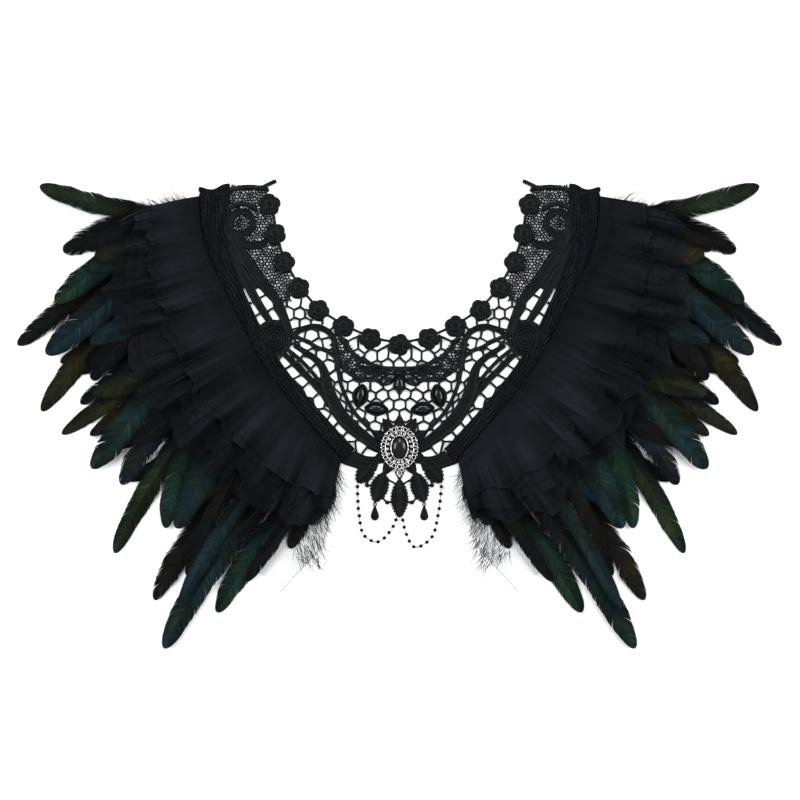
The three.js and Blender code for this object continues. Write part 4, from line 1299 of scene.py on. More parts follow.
def petal_half(width):
    """Half the width of a pointed petal, at a share of its length."""
    return lambda u: width / 2 * np.sin(np.pi * np.clip(u, 0, 1) ** 0.85) ** 0.9


def lace_band(gather, line, half, high, wide):
    """A band of cords where it is wide and a single cord where it is narrow, both sides."""
    profile = band_profile if wide else cord_profile
    columns = 24 if wide else 12
    both_pillows(
        gather, line, half, MOTIF_UNDERSIDE, high, profile=profile, columns=columns, step=1.5
    )


def lace_scrolls(gather):
    """The scrolls and cords of the lace, at slightly different heights where they cross,
    and the cord of the neckline."""
    for k, (widths, line) in enumerate(SCROLLS):
        wide = max(widths) > WIDE_BAND
        high = LACE_MOTIF - 0.06 * (k % 3) - (0 if wide else 0.1)
        lace_band(gather, line, lambda t, widths=widths: scroll_half(widths, t) * 1.12, high, wide)
    for k, (width, line) in enumerate(EXTRA_CORDS):
        high = LACE_MOTIF - 0.18 - 0.05 * (k % 4)
        lace_band(gather, line, steady(width / 2), high, width > WIDE_BAND)
    shares = evenly(NECKLINE, 14)
    _, side = along_and_side(NECKLINE, shares)
    neck = [tuple(p) for p in spline(NECKLINE, shares) + side * 1.7]
    both_pillows(gather, neck, steady(1.1), 0.4, 1.9, profile=cord_profile, columns=8)


def lace_flowers(gather):
    """The flowers along the neckline, the rosettes and the rings of the shoulders."""
    for i, (x, y) in enumerate(flower_middles()):
        for hand in (1, -1) if i < FLOWERS_A_SIDE else (1,):
            turn = i * 0.5 + math.pi / 2
            turn = turn if hand > 0 else math.pi - turn
            radius = 1.07 * FLOWER_RADIUS
            shape = {"rings": 14, "around": 60, "turn": turn, "lobes": 5, "depth": 0.16}
            at = (hand * x, y)
            round_motif(gather, at, flower_height, radius, FLOWER_UNDERSIDE, **shape)
    for hand in (1, -1):
        x, y = ROSETTE["at"]
        at, radius = (hand * x, y), ROSETTE["radius"]
        round_motif(gather, at, rosette_height, radius, FLOWER_UNDERSIDE, rings=30, around=40)
    ring_band(gather, ROSETTE["at"], ROSETTE["radius"] + 1.6, 1.9, LACE_MOTIF - 0.1)
    outer, inner = SHOULDER_RING["outer"], SHOULDER_RING["inner"]
    middle, half = (outer + inner) / 2, (outer - inner) / 2
    at = SHOULDER_RING["at"]
    ring_band(gather, at, middle + 0.6, half + 0.6, LACE_MOTIF, start=-2.3, sweep=5.9)
    ring_band(gather, at, 3.4, 0.9, LACE_MOTIF - 0.4, start=1.4, sweep=3.6)


def lace_leaves(gather):
    """The leaves in which the stones are set, and the hanging ones with their threads."""
    shape = {"profile": seat_profile, "columns": 24, "step": 0.9, "taper": 0.03}
    for leaf in STONE_LEAVES:
        seat = leaf_half(leaf)
        both_pillows(
            gather,
            leaf_line(leaf),
            lambda t, seat=seat: 1.1 * seat(t),
            FLOWER_UNDERSIDE,
            STONE_LEAF_TOP,
            **shape,
        )
    leaf = MIDDLE_STONE_LEAF
    line, half = leaf_line(leaf), leaf_half(leaf)
    pillow(gather, line, half, FLOWER_UNDERSIDE, STONE_LEAF_TOP, **shape)
    for leaf in HANGING_LEAVES:
        hanging_leaf(gather, leaf)
    hanging_leaf(gather, MIDDLE_LEAF, mirror=False)
    for bar in HANGING_BARS:
        shape = {"profile": cord_profile, "columns": 12, "step": 1.0}
        both_pillows(gather, bar, steady(0.85), 0.1, 1.5, **shape)
        for hand in (1, -1):
            knot = (hand * bar[1][0], bar[1][1])
            round_motif(gather, knot, knot_height, 1.9, 0.2, rings=5, around=14)


def lotus(gather):
    """The flower of pointed petals behind the brooch."""
    at = LOTUS["at"]
    near, far = 7.0, LOTUS["tip"] + 0.6
    width = 10
    shape = {"profile": leaf_profile, "columns": 24, "step": 0.9, "taper": 0.03}
    for k in range(LOTUS["petals"]):
        a = 2 * math.pi * k / LOTUS["petals"]
        middle = (at[0] + (near + far) / 2 * math.cos(a), at[1] + (near + far) / 2 * math.sin(a))
        petal = (middle, far - near, width, math.degrees(a))
        high = LACE_MOTIF + (0.12 if k % 2 else -0.2)
        pillow(gather, leaf_line(petal), petal_half(width), FLOWER_UNDERSIDE, high, **shape)
    plate_radius = 15
    round_motif(gather, at, plate_height, plate_radius, FLOWER_UNDERSIDE, rings=6, around=36)


def lace_motifs(gather):
    """The raised scrolls, flowers, rings and leaves of the lace."""
    lace_scrolls(gather)
    lace_flowers(gather)
    lotus(gather)
    lace_leaves(gather)


class CAPE_OT_lace(bpy.types.Operator):
    """Builds the guipure lace collar: its border, motifs, open bars and fine net"""

    bl_idname = "cape.lace"
    bl_label = "Lace collar"

    def execute(self, context):
        thread = material("black_lace", lace_material, tuple(colours().lace))
        motifs = Gather()
        lace_motifs(motifs)
        obj = motifs.object("lace_motifs", [thread])
        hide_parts("lace_collar")
        border = Gather()
        for hand in (1, -1):
            lace_border(border, hand)
        border.object("lace_border", [thread])
        bars = Gather()
        lace_bars(bars)
        bars.object("lace_bars", [thread], weld=0)
        net = Gather()
        fine_net(net)
        net.object("lace_fine_net", [thread], weld=0)
        return {"FINISHED"}


# The wings.


def ruffle_points(edge, share, tier, t, j, seed, ply):
    """Points of a ruffle: t along its folds, j outwards to its hem. ply is 0 for the
    upper layer of net and 1 for the one below it."""
    # Places along the seam and outwards to a ragged hem, nearer in the upper layer.
    s = WING_START + (WING_END - WING_START) * (t + 0.011 * np.sin(10 * np.pi * t))
    hem = ruffle_reach(s) * share * (1 + 0.05 * np.sin(2 * np.pi * FOLDS * t + 1.1 * tier))
    ragged = 0.05 * wander(t * 23, seed + 3) + 0.02 * wander(t * 90, seed + 4)
    hem = hem * (1 + ragged) * (0.88 if ply == 0 else 1.0)
    start = edge[0][0]
    d = start + (hem - start) * j**0.85
    # Large folds, smaller pleats between them and fine gathers near the seam.
    turn = 2 * np.pi * FOLDS * t + 0.9 * wander(d / 45 + 3 * t, seed) * smooth(d / 40)
    opened = smooth((d - 12) / 60)
    main = np.sin(turn) * (0.8 + 0.2 * np.sin(6.5 * np.pi * t))
    second = 0.34 * np.sin(2.37 * turn + 2.2 * wander(t * 9, seed + 1)) * smooth((d - 8) / 30)
    third = 0.2 * np.sin(5.3 * turn + 3 * wander(t * 17, seed + 2)) * smooth((d - 4) / 22)
    drawn = 7 * wander(t * 13, seed + 5) + 1.2 * wander(d / 25, seed + 8)
    pinch = 0.6 * np.sin(2 * np.pi * 31 * t + drawn)
    pinch = pinch + 0.4 * np.sin(2 * np.pi * 53 * t + 9 * wander(t * 19, seed + 9))
    near = smooth((d - 1) / 8) * (1 - smooth((d - 30) / 55))
    # Up over the feathers first, then on at the tier's own height.
    fold = FOLD_HEIGHT * opened
    level = BODY_LEVEL + TIER_PITCH * tier
    marks = [*edge, (BODY_FROM, level + FOLD_HEIGHT * OPENED_AT_BODY)]
    body = level + fold
    rise = np.interp(d, [m[0] for m in marks], [m[1] for m in marks])
    share_body = smooth((d - marks[-2][0]) / (BODY_FROM - marks[-2][0] + 6))
    z = rise * (1 - share_body) + body * share_body
    z = z + fold * (main + second) + (0.4 + 0.6 * fold) * third
    z = z + 0.45 * pinch * near - 1.5 * ply * opened
    lean = 5.5 * opened * np.cos(turn) * wander(t * 6 + tier, seed + 6)
    way, _ = along_and_side(SEAM, s)
    flat = wing_point(s, d) + way * lean[:, None]
    # Painted light and shade: lighter on the crests, light and dark along the gathers near the
    # seam, a little lighter at the hem. The net is closer near the seam and at the hem.
    billow = smooth(0.5 + 0.42 * (main + second))
    patch = wander(t * 7 + d / 60, seed + 12)
    light = 0.74 + 0.75 * (billow - 0.45) * smooth((d - 4) / 45)
    light = light + 0.12 * pinch * near + 0.16 * patch
    hemmed = (j > 0.985).astype(float)
    cover = 0.5 * (1 - smooth((d - 30) / 60)) + 0.08 * hemmed
    return with_height(flat, z), d, light + 0.06 * hemmed, cover


def ruffle(name, edge, share, tier, hand, cloth):
    """Two gathered layers of net for one tier of a wing."""
    seed = 11 * tier + (5 if hand < 0 else 0)
    gather = Gather()
    rows, columns = 400, 26
    mesh, row, column = lattice(rows, columns)
    t, j = row / rows, column / columns
    mesh_size = sizes().net_mesh / MM
    length = 1.25 * line_length(SEAM)
    for ply in (0, 1):
        points, d, light, cover = ruffle_points(edge, share, tier, t, j, seed, ply)
        uv = np.stack([t * length * 1.8 / mesh_size, d / mesh_size], 1)
        # The tint carries the painted light in red and the net's cover in green.
        tint = np.stack([light, cover, 0 * t], 1)
        gather.add(mesh, points, uv=uv, tint=tint)
    obj = gather.object("tulle_" + name, [cloth], hand=hand, weld=0, closed=False)
    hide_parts(name)
    return obj


def net_panel(name, hand, cloth):
    """The plain net under a wing, whose straight hem shows at its lower corner."""
    # The outer edge, as shares of the seam and distances from it, up to the straight hem.
    outer_line = [(0, 48), (0.3, 82), (0.6, 104), (0.8, 120)]
    straight_from, furthest = outer_line[-1]
    corner, end, inner = (0.94, 131.0), 72.0, -6.0
    rows, columns = 120, 40
    mesh, row, column = lattice(rows, columns)
    t, j = row / rows, 1 - (1 - column / columns) ** 1.6
    q = spline(outer_line, np.minimum(t / straight_from, 1))
    curved = wing_point(np.maximum(q[:, 0], WING_START), q[:, 1])
    known = wing_point(
        np.array([straight_from, corner[0], 1.0]), np.array([furthest, corner[1], end])
    )
    shares = [straight_from, 0.9, 1]
    straight = np.stack([np.interp(t, shares, known[:, k]) for k in range(2)], 1)
    outer = np.where((t <= straight_from)[:, None], curved, straight)
    inner_point = wing_point(WING_START + (1 - WING_START) * t, np.full(len(t), inner))
    flat = inner_point + (outer - inner_point) * j[:, None]
    z = 0.45 + 0.18 * np.sin(9 * t * np.pi + 5 * j) * j
    hem = ((j > 0.995) & (t > 0.9)).astype(float)
    gather = Gather()
    tint = np.stack([1 + 0 * hem, hem, 0 * hem], 1)
    gather.add(mesh, with_height(flat, z), uv=flat / (sizes().net_mesh / MM), tint=tint)
    obj = gather.object("plain_" + name, [cloth], hand=hand, weld=0, closed=False)
    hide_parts(name)
    return obj


class CAPE_OT_net(bpy.types.Operator):
    """Builds the gathered net ruffles and the plain net panels under the wings"""

    bl_idname = "cape.net"
    bl_label = "Net ruffles"

    def execute(self, context):
        cloth = material("black_net", net_material, tuple(colours().net), 0.42, 0.95)
        open_net = material("open_net", net_material, tuple(colours().net), 0.03, 0.4)
        for hand, side in ((1, "_left"), (-1, "_right")):
            panel = net_panel("net_panel" + side, hand, open_net)
            for name, edge, share, tier in RUFFLES:
                obj = ruffle(name + side, edge, share, tier, hand, cloth)
        return {"FINISHED"}


def hackles(layer):
    """Short dark feathers that lie under the long ones and fill the gaps between them."""
    rows = []
    count = HACKLES["count"] if layer == 0 else 0
    for i in range(count):
        seam = 0.08 + 0.88 * (i + 0.5) / count
        far = feather_reach(seam) * (0.9 + 0.24 * float(scatter(i, 41)))
        tip = wing_point(np.array(seam + 0.05 * (float(scatter(i, 43)) - 0.5)), np.array(far))
        bend = 0.2 * (float(scatter(i, 47)) - 0.5)
        tint = HACKLES["tints"][i % len(HACKLES["tints"])]
        hackle = {"seam": seam, "tip": tip, "width": HACKLES["width"], "bend": bend, "tint": tint}
        rows.append({**hackle, "filler": True, "level": -0.5})
    return rows


def layer_feathers(layer):
    """All the feathers of a layer, with the place of the quill and of the tip."""
    rows = [
        {"seam": s, "tip": np.array([x, y]), "width": w, "bend": b, "tint": tint, "filler": False}
        for s, x, y, w, b, which, tint in FEATHERS
        if which == layer
    ]
    for which, count, first, last, reach, width in FILLERS:
        if which != layer:
            continue
        for i in range(count):
            seam = first + (last - first) * (i + 0.5) / count
            far = feather_reach(seam) * (reach + 0.08 * (float(scatter(i, layer)) - 0.5))
            bend = 0.12 * (float(scatter(layer, i + 7)) - 0.5)
            tip = wing_point(np.array(seam), np.array(far))
            tint = FILLER_TINTS[(i + layer) % len(FILLER_TINTS)]
            filler = {"seam": seam, "tip": tip, "width": width, "bend": bend, "tint": tint}
            rows.append({**filler, "filler": True})
    rows.sort(key=lambda f: f["seam"])
    for before, after in zip(rows, rows[1:]):
        after["seam"] = max(after["seam"], before["seam"] + 0.022)
    return rows


def feather_half(width, u):
    """Half the width of a feather, at a share of its length."""
    body = smooth((u - 0.06) / 0.36)
    tip = np.sqrt(np.clip(1 - np.clip((u - 0.7) / 0.3, 0, None) ** 2.2, 0, 1))
    return 1.1 * (1 - body) * tip + (width / 2) * body * tip


def feather_line(f, u):
    """Places on the middle line of a feather, and the direction to its left."""
    root = wing_point(np.array(f["seam"]), np.array(TAPE_TO - 2.0))
    along = f["tip"] - root
    middle = (root + f["tip"]) / 2 + np.array([-along[1], along[0]]) * f["bend"] * 2
    u = np.asarray(u, float)[..., None]
    place = (1 - u) ** 2 * root + 2 * u * (1 - u) * middle + u * u * f["tip"]
    way = 2 * (1 - u) * (middle - root) + 2 * u * (f["tip"] - middle)
    way /= np.linalg.norm(way, axis=-1, keepdims=True)
    return place, np.stack([-way[..., 1], way[..., 0]], -1)


def levelled(feathers):
    """Gives each feather of a layer the lowest level where it crosses none."""
    shares = (np.arange(15) + 1) / 15
    placed = []
    for f in feathers:
        spots, _ = feather_line(f, shares)
        half = feather_half(f["width"], shares)
        used = set()
        for other in placed:
            gap = np.linalg.norm(spots[:, None] - other["spots"][None], axis=2)
            if (gap < 0.93 * (half[:, None] + other["half"][None]) + 0.8).any():
                used.add(other["level"])
        level = 0
        while level in used:
            level += 1
        placed.append({**f, "spots": spots, "half": half, "level": level})
    return placed


def settling(points):
    """How far the pile of feathers is pressed down, far from the seam."""
    line = spline(SEAM, np.linspace(0, 1, 11))
    away = np.linalg.norm(points[:, None] - line[None], axis=2).min(1)
    return 1 - 0.4 * smooth((away - 80) / 140)


def tape_height(layer):
    """Height of the tape into which the quills are sewn."""
    return CLOTH + SEAM_GAP + TAPE_THICK / 2 + layer * (TAPE_THICK + SEAM_GAP)


def feather_height(f, layer, u, flat, long):
    """Height of a feather's points above the floor."""
    start = tape_height(layer) + 0.05 * f["level"]
    own = 2 + QUILL_LEVEL * (3 * layer + f["level"])
    risen = np.clip((u * long - IN_TAPE) / SPREAD_LENGTH, 0, 1)
    return (start + (own - start) * risen) * settling(flat)


def feather(gather, f, layer, random):
    """Adds one feather: barbs in clumps on both sides of a tapered shaft."""
    samples, _ = feather_line(f, np.linspace(0, 1, 60))
    long = float(np.linalg.norm(np.diff(samples, axis=0), axis=1).sum())
    count = int(sizes().barbs * (0.7 if f["filler"] else 1))
    steps = 4
    mesh, row, column = lattice(2 * count - 1, steps, split=True)
    barb = np.floor(row / 2)
    second = row % 2
    i = barb.astype(int)
    v = column / steps
    colour = np.array(getattr(colours(), f["tint"]))
    dark = np.array(colours().dark)
    downy = f["tint"] in ("grey", "dark", "brown")
    sweep = 0.6 * f["width"] / long * (1.6 if downy else 1.3)
    for hand in (1, -1):
        # Barbs cling together in clumps, which open a little and are of uneven length.
        clump_ends = np.cumsum(random.integers(5, 16, 80))
        clump = np.searchsorted(clump_ends, np.arange(count), side="right")
        opened = random.normal(0, 1, 90)[clump] * (0.009 if downy else 0.003)
        drawn = random.random(90)[clump] * (0.15 if downy else 0.05)
        uneven = random.normal(0, 1, count)
        ragged = random.random(count)
        # Each barb starts at the shaft, slants towards the tip and ends at the feather's edge.
        root = np.minimum(0.1 + 0.9 * ((barb + second * 1.08) / count), 1)
        near_tip = np.clip(8 * (1 - root), 0, 1)
        reach = np.minimum(root + sweep * (1 - root) ** 0.35, 1)
        u = np.clip(root + (reach - root) * v**1.15 + opened[i] * v**2 * near_tip, 0, 1)
        fray = (0.14 if downy else 0.07) * ragged[i] + drawn[i]
        short = 1 - fray * v**3 * np.clip(6 * (1 - root), 0.3, 1)
        short = short * (1 + 0.08 * wander(root * 11, f["seed"] + 3 * hand))
        half = np.maximum(feather_half(f["width"], u), 0.1) * short
        place, side = feather_line(f, u)
        flat = place + hand * side * (half * v**0.92)[:, None]
        z = feather_height(f, layer, u, flat, long)
        groove = 0.16 * (second - 0.5) * np.sin(np.pi * np.clip(v, 0.1, 0.9))
        z = z + 0.25 * (1 - v) - 0.3 * v**2 * half / 10 + groove * hand + 0.05 * uneven[i] * v
        z = np.maximum(z + f["twist"] * hand * half * v, 0.15)
        # Dark at the quill, with its colour from the middle on and darker at the edge. A painted
        # sheen grows and fades along each side, differently on the two sides.
        lit = smooth((root - 0.3) / 0.35)[:, None]
        edge = (1.1 - 0.65 * v**2.5)[:, None]
        painted_sheen = (0.8 + 0.45 * wander(root * 6 + 3 * hand, f["seed"]))[:, None]
        shade = (1 + 0.2 * uneven[i])[:, None]
        tint = (dark * (1 - lit) + colour * lit) * edge * painted_sheen * shade
        tint = np.clip(tint, 0.0015, 1)
        uv = np.stack([root * long * 1.6, hand * v * half], 1)
        turned = mesh if hand < 0 else flipped(mesh, 2 * count - 1, steps)
        gather.add(turned, with_height(flat, z), uv=uv, tint=tint)
    feather_shaft(gather, f, layer, long)


def feather_shaft(gather, f, layer, long):
    """The tapered quill along the middle of a feather."""
    rows, around = 22, 5
    mesh, row, column = lattice(rows, around)
    u = row / rows * 0.985
    place, side = feather_line(f, u)
    radius = (0.6 - 0.48 * u) * np.where(u > 0.97, 0.4, 1)
    a = 2 * np.pi * column / around
    flat = place + side * (radius * np.cos(a))[:, None]
    z = feather_height(f, layer, u, place, long) + 0.3 + 0.7 * radius * np.sin(a)
    pale = f["tint"] in ("olive", "olive_green")
    shaft = np.array([0.009, 0.008, 0.006] if pale else [0.003, 0.0033, 0.0036])
    gather.add(mesh, with_height(flat, z), tint=np.broadcast_to(shaft, (len(u), 3)), slot=1)


def long_hairs(gather, random):
    """Bare quills that stand out beyond the shoulder."""
    mesh, row, column = lattice(6, 1)
    for k in range(7):
        start = wing_point(np.array(0.05 + 0.012 * k), np.array(12.0 + 4 * k))
        aim = np.array([-random.uniform(10, 34), random.uniform(9, 22)])
        u = row / 6
        curl = np.array([-aim[1], aim[0]]) * random.uniform(-0.2, 0.1)
        place = start + aim * u[:, None] + curl * (u * u)[:, None]
        across = np.array([-aim[1], aim[0]]) / np.linalg.norm(aim)
        flat = place + across * ((1 - column * 2) * 0.28 * (1 - 0.7 * u))[:, None]
        tint = np.broadcast_to(np.array(colours().dark), (len(u), 3))
        gather.add(mesh, with_height(flat, 12 + 2 * u), tint=tint)


def quill_tape(gather, layer):
    """The tape that holds a layer's quills."""
    rows, columns = 60, 8
    mesh, row, column = lattice(rows, columns)
    s = WING_START + (WING_END - WING_START) * row / rows
    out = np.array([0, 0.5, 1, 1, 1, 0.5, 0, 0, 0])[column.astype(int)]
    up = np.array([0, 0, 0, 0.5, 1, 1, 1, 0.5, 0])[column.astype(int)]
    z = tape_height(layer) + TAPE_THICK * (up - 0.5)
    d = TAPE_FROM + (TAPE_TO - TAPE_FROM) * out
    gather.add(mesh, with_height(wing_point(s, d), z), uv=np.stack([s * 300, d], 1), slot=2)


def down(gather, random, layer, count):
    """Loose down at the quills, which shows along the shoulder and the lower edge."""
    mesh, row, column = lattice(4, 1)
    for _ in range(count):
        low_end = random.random() < 0.65
        s = random.uniform(0.93, 0.995) if low_end else random.uniform(0.045, 0.12)
        far = random.uniform(8, 96) if low_end else random.uniform(8, 60)
        start = wing_point(np.array(s), np.array(far))
        away = fan_direction(np.array(s))
        across = np.array([-away[1], away[0]]) * (1 if low_end else -1)
        aim = away * random.uniform(0.2, 1.0) + across * random.uniform(0.1, 0.9)
        aim = aim / np.linalg.norm(aim) * random.uniform(6, 17)
        curl = np.array([-aim[1], aim[0]]) * random.uniform(-0.35, 0.35)
        u = row / 4
        place = start + aim * u[:, None] + curl * (u * u)[:, None]
        side = np.array([-aim[1], aim[0]]) / np.linalg.norm(aim)
        thin = 0.24 * (1 - 0.7 * u)
        flat = place + side * ((1 - column * 2) * thin)[:, None]
        z = 3.5 + 3 * layer + 4 * np.sin(1.6 * u) * random.random()
        tint = np.broadcast_to(np.array(colours().grey) * 0.5, (len(u), 3))
        gather.add(mesh, with_height(flat, z), tint=tint)


class CAPE_OT_feathers(bpy.types.Operator):
    """Builds the three rows of rooster feathers of each wing"""

    bl_idname = "cape.feathers"
    bl_label = "Feathers"

    def execute(self, context):
        vane = material("iridescent_vane", feather_material)
        shaft = material("feather_shaft", shaft_material)
        tape = material("quill_tape", lace_material, tuple(colours().lace), 1.4)
        for hand, side in ((1, "_left"), (-1, "_right")):
            for layer, name in enumerate(("feathers_long", "feathers_middle", "feathers_short")):
                random = np.random.default_rng(7 + 10 * layer + (hand < 0))
                gather = Gather()
                for k, f in enumerate([*hackles(layer), *levelled(layer_feathers(layer))]):
                    f["twist"] = float(random.uniform(-0.09, 0.09))
                    f["seed"] = 31 * k + layer + 7 * (hand < 0)
                    feather(gather, f, layer, random)
                quill_tape(gather, layer)
                down(gather, random, layer, count=150)
                if layer == 2:
                    long_hairs(gather, random)
                looks = [vane, shaft, tape]
                obj = gather.object(
                    "plumes_" + name + side, looks, hand=hand, weld=0, closed=False
                )
                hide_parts(name + side)
        return {"FINISHED"}


# The jewels.


def cut_stone(gather, at, outline, low, height, angle=0.0, slot=0):
    """A cut stone: outline(a) gives its edge, with rows of facets up to a flat table."""
    shares = [0.0, 0.9, 1.0, 0.98, 0.8, 0.5, 0.0]
    heights = [0.0, 0.0, 0.3, 0.4, 0.78, 1.0, 1.0]
    around = 16
    mesh, row, column = lattice(around, len(shares) - 1)
    ring = column.astype(int)
    a = 2 * np.pi * row / around + np.where(ring == 4, np.pi / around, 0)
    x, y = outline(a)
    share = np.array(shares)[ring]
    turn = math.radians(angle)
    flat = np.stack(
        [
            at[0] + share * (x * math.cos(turn) - y * math.sin(turn)),
            at[1] + share * (x * math.sin(turn) + y * math.cos(turn)),
        ],
        1,
    )
    z = low + height * np.array(heights)[ring]
    gather.add(mesh, with_height(flat, z), slot=slot)


def oval(half_x, half_y):
    """Outline of an oval."""
    return lambda a: (half_x * np.cos(a), half_y * np.sin(a))


def navette(length, width):
    """A pointed oval."""

    def outline(a):
        x = length / 2 * np.cos(a)
        y = width / 2 * np.sign(np.sin(a)) * np.abs(np.sin(a)) ** 1.25
        return x, y

    return outline


def brooch_frame(gather):
    """Silver scrolls, beaded rims and crystals round the stone, down to the finial."""
    x, y = BROOCH["at"]
    low = ON_MOTIFS
    wide, tall = BROOCH["half_width"], BROOCH["half_length"]
    wires = [
        ring_line(x, y, low + 2.4, 0.47 * wide, 0.57 * tall, 48),
        ring_line(x, y, low + 0.8, 0.78 * wide, 0.8 * tall, 48),
    ]
    add_threads(gather, wires, 0.42, sides=2)
    curls, beads, crystals = [], [], []
    lobes = BROOCH["lobes"]
    for k in range(lobes):
        a = 2 * math.pi * (k + 0.5) / lobes
        px, py = x + 0.9 * wide * math.cos(a), y + 0.9 * tall * math.sin(a)
        curls.append(ring_line(px, py, low + 0.8, 1.7, 1.7, 12))
        b = 2 * math.pi * k / lobes
        beads.append((x + 1.0 * wide * math.cos(b), y + 1.0 * tall * math.sin(b), 1.0, low + 0.9))
    for k in range(22):
        b = 2 * math.pi * (k + 0.5) / 22
        beads.append((x + 0.5 * wide * math.cos(b), y + 0.6 * tall * math.sin(b), 0.6, low + 1.8))
    tip = y - tall
    for side in (-1, 1):
        curls.append(ring_line(x + 2.2 * side, tip - 0.6, low + 0.8, 1.6, 1.6, 12))
        beads.append((x + 1.7 * side, tip - 4.9, 0.6, low + 0.9))
    curls.append(ring_line(x, tip - 3.6, low + 0.8, 1.9, 1.9, 14))
    beads.append((x, tip - 6.3, 1.0, low + 0.9))
    add_threads(gather, curls, 0.44, sides=1)
    ball = made_by(bmesh.ops.create_icosphere, "ball", subdivisions=2, radius=1)
    for bx, by, radius, bz in beads:
        gather.add(ball, points_of(ball) * radius + (bx, by, bz))
    count = sizes().crystals
    for k in range(count):
        b = 2 * math.pi * (k + 0.25) / count
        crystals.append((x + 0.66 * wide * math.cos(b), y + 0.7 * tall * math.sin(b), 1.45))
    crystals.append((x, tip - 0.9, 1.3))
    crystals.append((x, tip - 3.6, 1.0))
    for cx, cy, radius in crystals:
        cut_stone(gather, (cx, cy), oval(radius, radius), low + 0.55, 1.25, slot=1)


class CAPE_OT_brooch(bpy.types.Operator):
    """Builds the silver brooch with its crystals and its oval stone"""

    bl_idname = "cape.brooch"
    bl_label = "Brooch"

    def execute(self, context):
        silver = material("silver", silver_material, tuple(colours().silver))
        crystal = material("crystal", crystal_material)
        jet = material("jet", gem_material, tuple(colours().jet), 0.12, 0.35)
        gather = Gather()
        brooch_frame(gather)
        obj = gather.object("brooch_filigree", [silver, crystal], faceted=(1,))
        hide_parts("brooch_frame")
        gather = Gather()
        stone = BROOCH_STONE
        cut_stone(
            gather,
            BROOCH["at"],
            oval(stone["half_width"], 1.07 * stone["half_length"]),
            ON_MOTIFS,
            stone["height"],
        )
        obj = gather.object("brooch_oval_stone", [jet], faceted=(0,))
        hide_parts("brooch_stone")
        return {"FINISHED"}


class CAPE_OT_stones(bpy.types.Operator):
    """Builds the seven pointed stones"""

    bl_idname = "cape.stones"
    bl_label = "Stones"

    def execute(self, context):
        jet = material("jet", gem_material, tuple(colours().jet), 0.12, 0.35)
        leaves = [(f"stone_{i + 1}_left", leaf, 1) for i, leaf in enumerate(STONE_LEAVES)]
        leaves += [(f"stone_{i + 1}_right", leaf, -1) for i, leaf in enumerate(STONE_LEAVES)]
        leaves.append(("stone_middle", MIDDLE_STONE_LEAF, 1))
        for name, ((x, y), _, _, angle), hand in leaves:
            gather = Gather()
            turn = angle if hand > 0 else 180 - angle
            cut_stone(
                gather,
                (hand * x, y),
                navette(STONE_GROWTH[0] * STONE["length"], STONE_GROWTH[1] * STONE["width"]),
                ON_MOTIFS,
                STONE["height"],
                angle=turn,
            )
            obj = gather.object(name + "_cut", [jet], faceted=(0,))
            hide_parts(name)
        return {"FINISHED"}


def bead_route(points, count=200):
    """Even places along the string's smooth line, spaced as the part's source has it."""
    known = [np.array([x, y, STRING_LEVEL]) for x, y in points]
    known = [known[0] * 2 - known[1], *known, known[-1] * 2 - known[-2]]
    places = []
    for a, b, c, d in zip(known, known[1:], known[2:], known[3:]):
        t0 = 0.0
        t1 = np.linalg.norm(b - a) ** 0.5
        t2 = t1 + np.linalg.norm(c - b) ** 0.5
        t3 = t2 + np.linalg.norm(d - c) ** 0.5
        for t in np.linspace(t1, t2, 60, endpoint=False):
            ab = (t1 - t) / (t1 - t0) * a + (t - t0) / (t1 - t0) * b
            bc = (t2 - t) / (t2 - t1) * b + (t - t1) / (t2 - t1) * c
            cd = (t3 - t) / (t3 - t2) * c + (t - t2) / (t3 - t2) * d
            abc = (t2 - t) / (t2 - t0) * ab + (t - t0) / (t2 - t0) * bc
            bcd = (t3 - t) / (t3 - t1) * bc + (t - t1) / (t3 - t1) * cd
            places.append((t2 - t) / (t2 - t1) * abc + (t - t1) / (t2 - t1) * bcd)
    places.append(known[-2])
    places = np.array(places)
    walked = np.concatenate([[0], np.cumsum(np.linalg.norm(np.diff(places, axis=0), axis=1))])
    even = np.linspace(0, walked[-1], count)
    return np.stack([np.interp(even, walked, places[:, k]) for k in range(3)], 1), float(walked[-1])


class CAPE_OT_beads(bpy.types.Operator):
    """Builds the two strings of beads: a thin thread with round beads on it"""

    bl_idname = "cape.beads"
    bl_label = "Bead strings"

    def execute(self, context):
        jet = material("jet_bead", gem_material, tuple(colours().jet), 0.5, 0.05)
        thread = material("bead_thread", lace_material, tuple(colours().lace), 0.5)
        for name, points in BEAD_STRINGS.items():
            route, length = bead_route(points, 36)
            placed = (route + (0, SHIFT, 0)) * MM
            curve = round_curve(name + "_thread", [placed], sizes().string_thread / 2, 2)
            curve.materials.append(thread)
            string = bpy.data.objects.new(name + "_thread", curve)
            context.scene.collection.objects.link(string)
            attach(string, "root")
            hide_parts(name)
            gather = Gather()
            ball = made_by(bmesh.ops.create_uvsphere, "bead", u_segments=10, v_segments=7, radius=1)
            fine, _ = bead_route(points, 400)
            count = int(length / (sizes().bead_pitch / MM))
            for k in range(count):
                centre = fine[int((k + 0.5) / count * (len(fine) - 1))]
                lifted = centre + (0, 0, BEAD_RADIUS - STRING_LEVEL)
                gather.add(ball, points_of(ball) * BEAD_RADIUS + lifted)
            beads = gather.object(name + "_beads", [jet], weld=0)
        return {"FINISHED"}


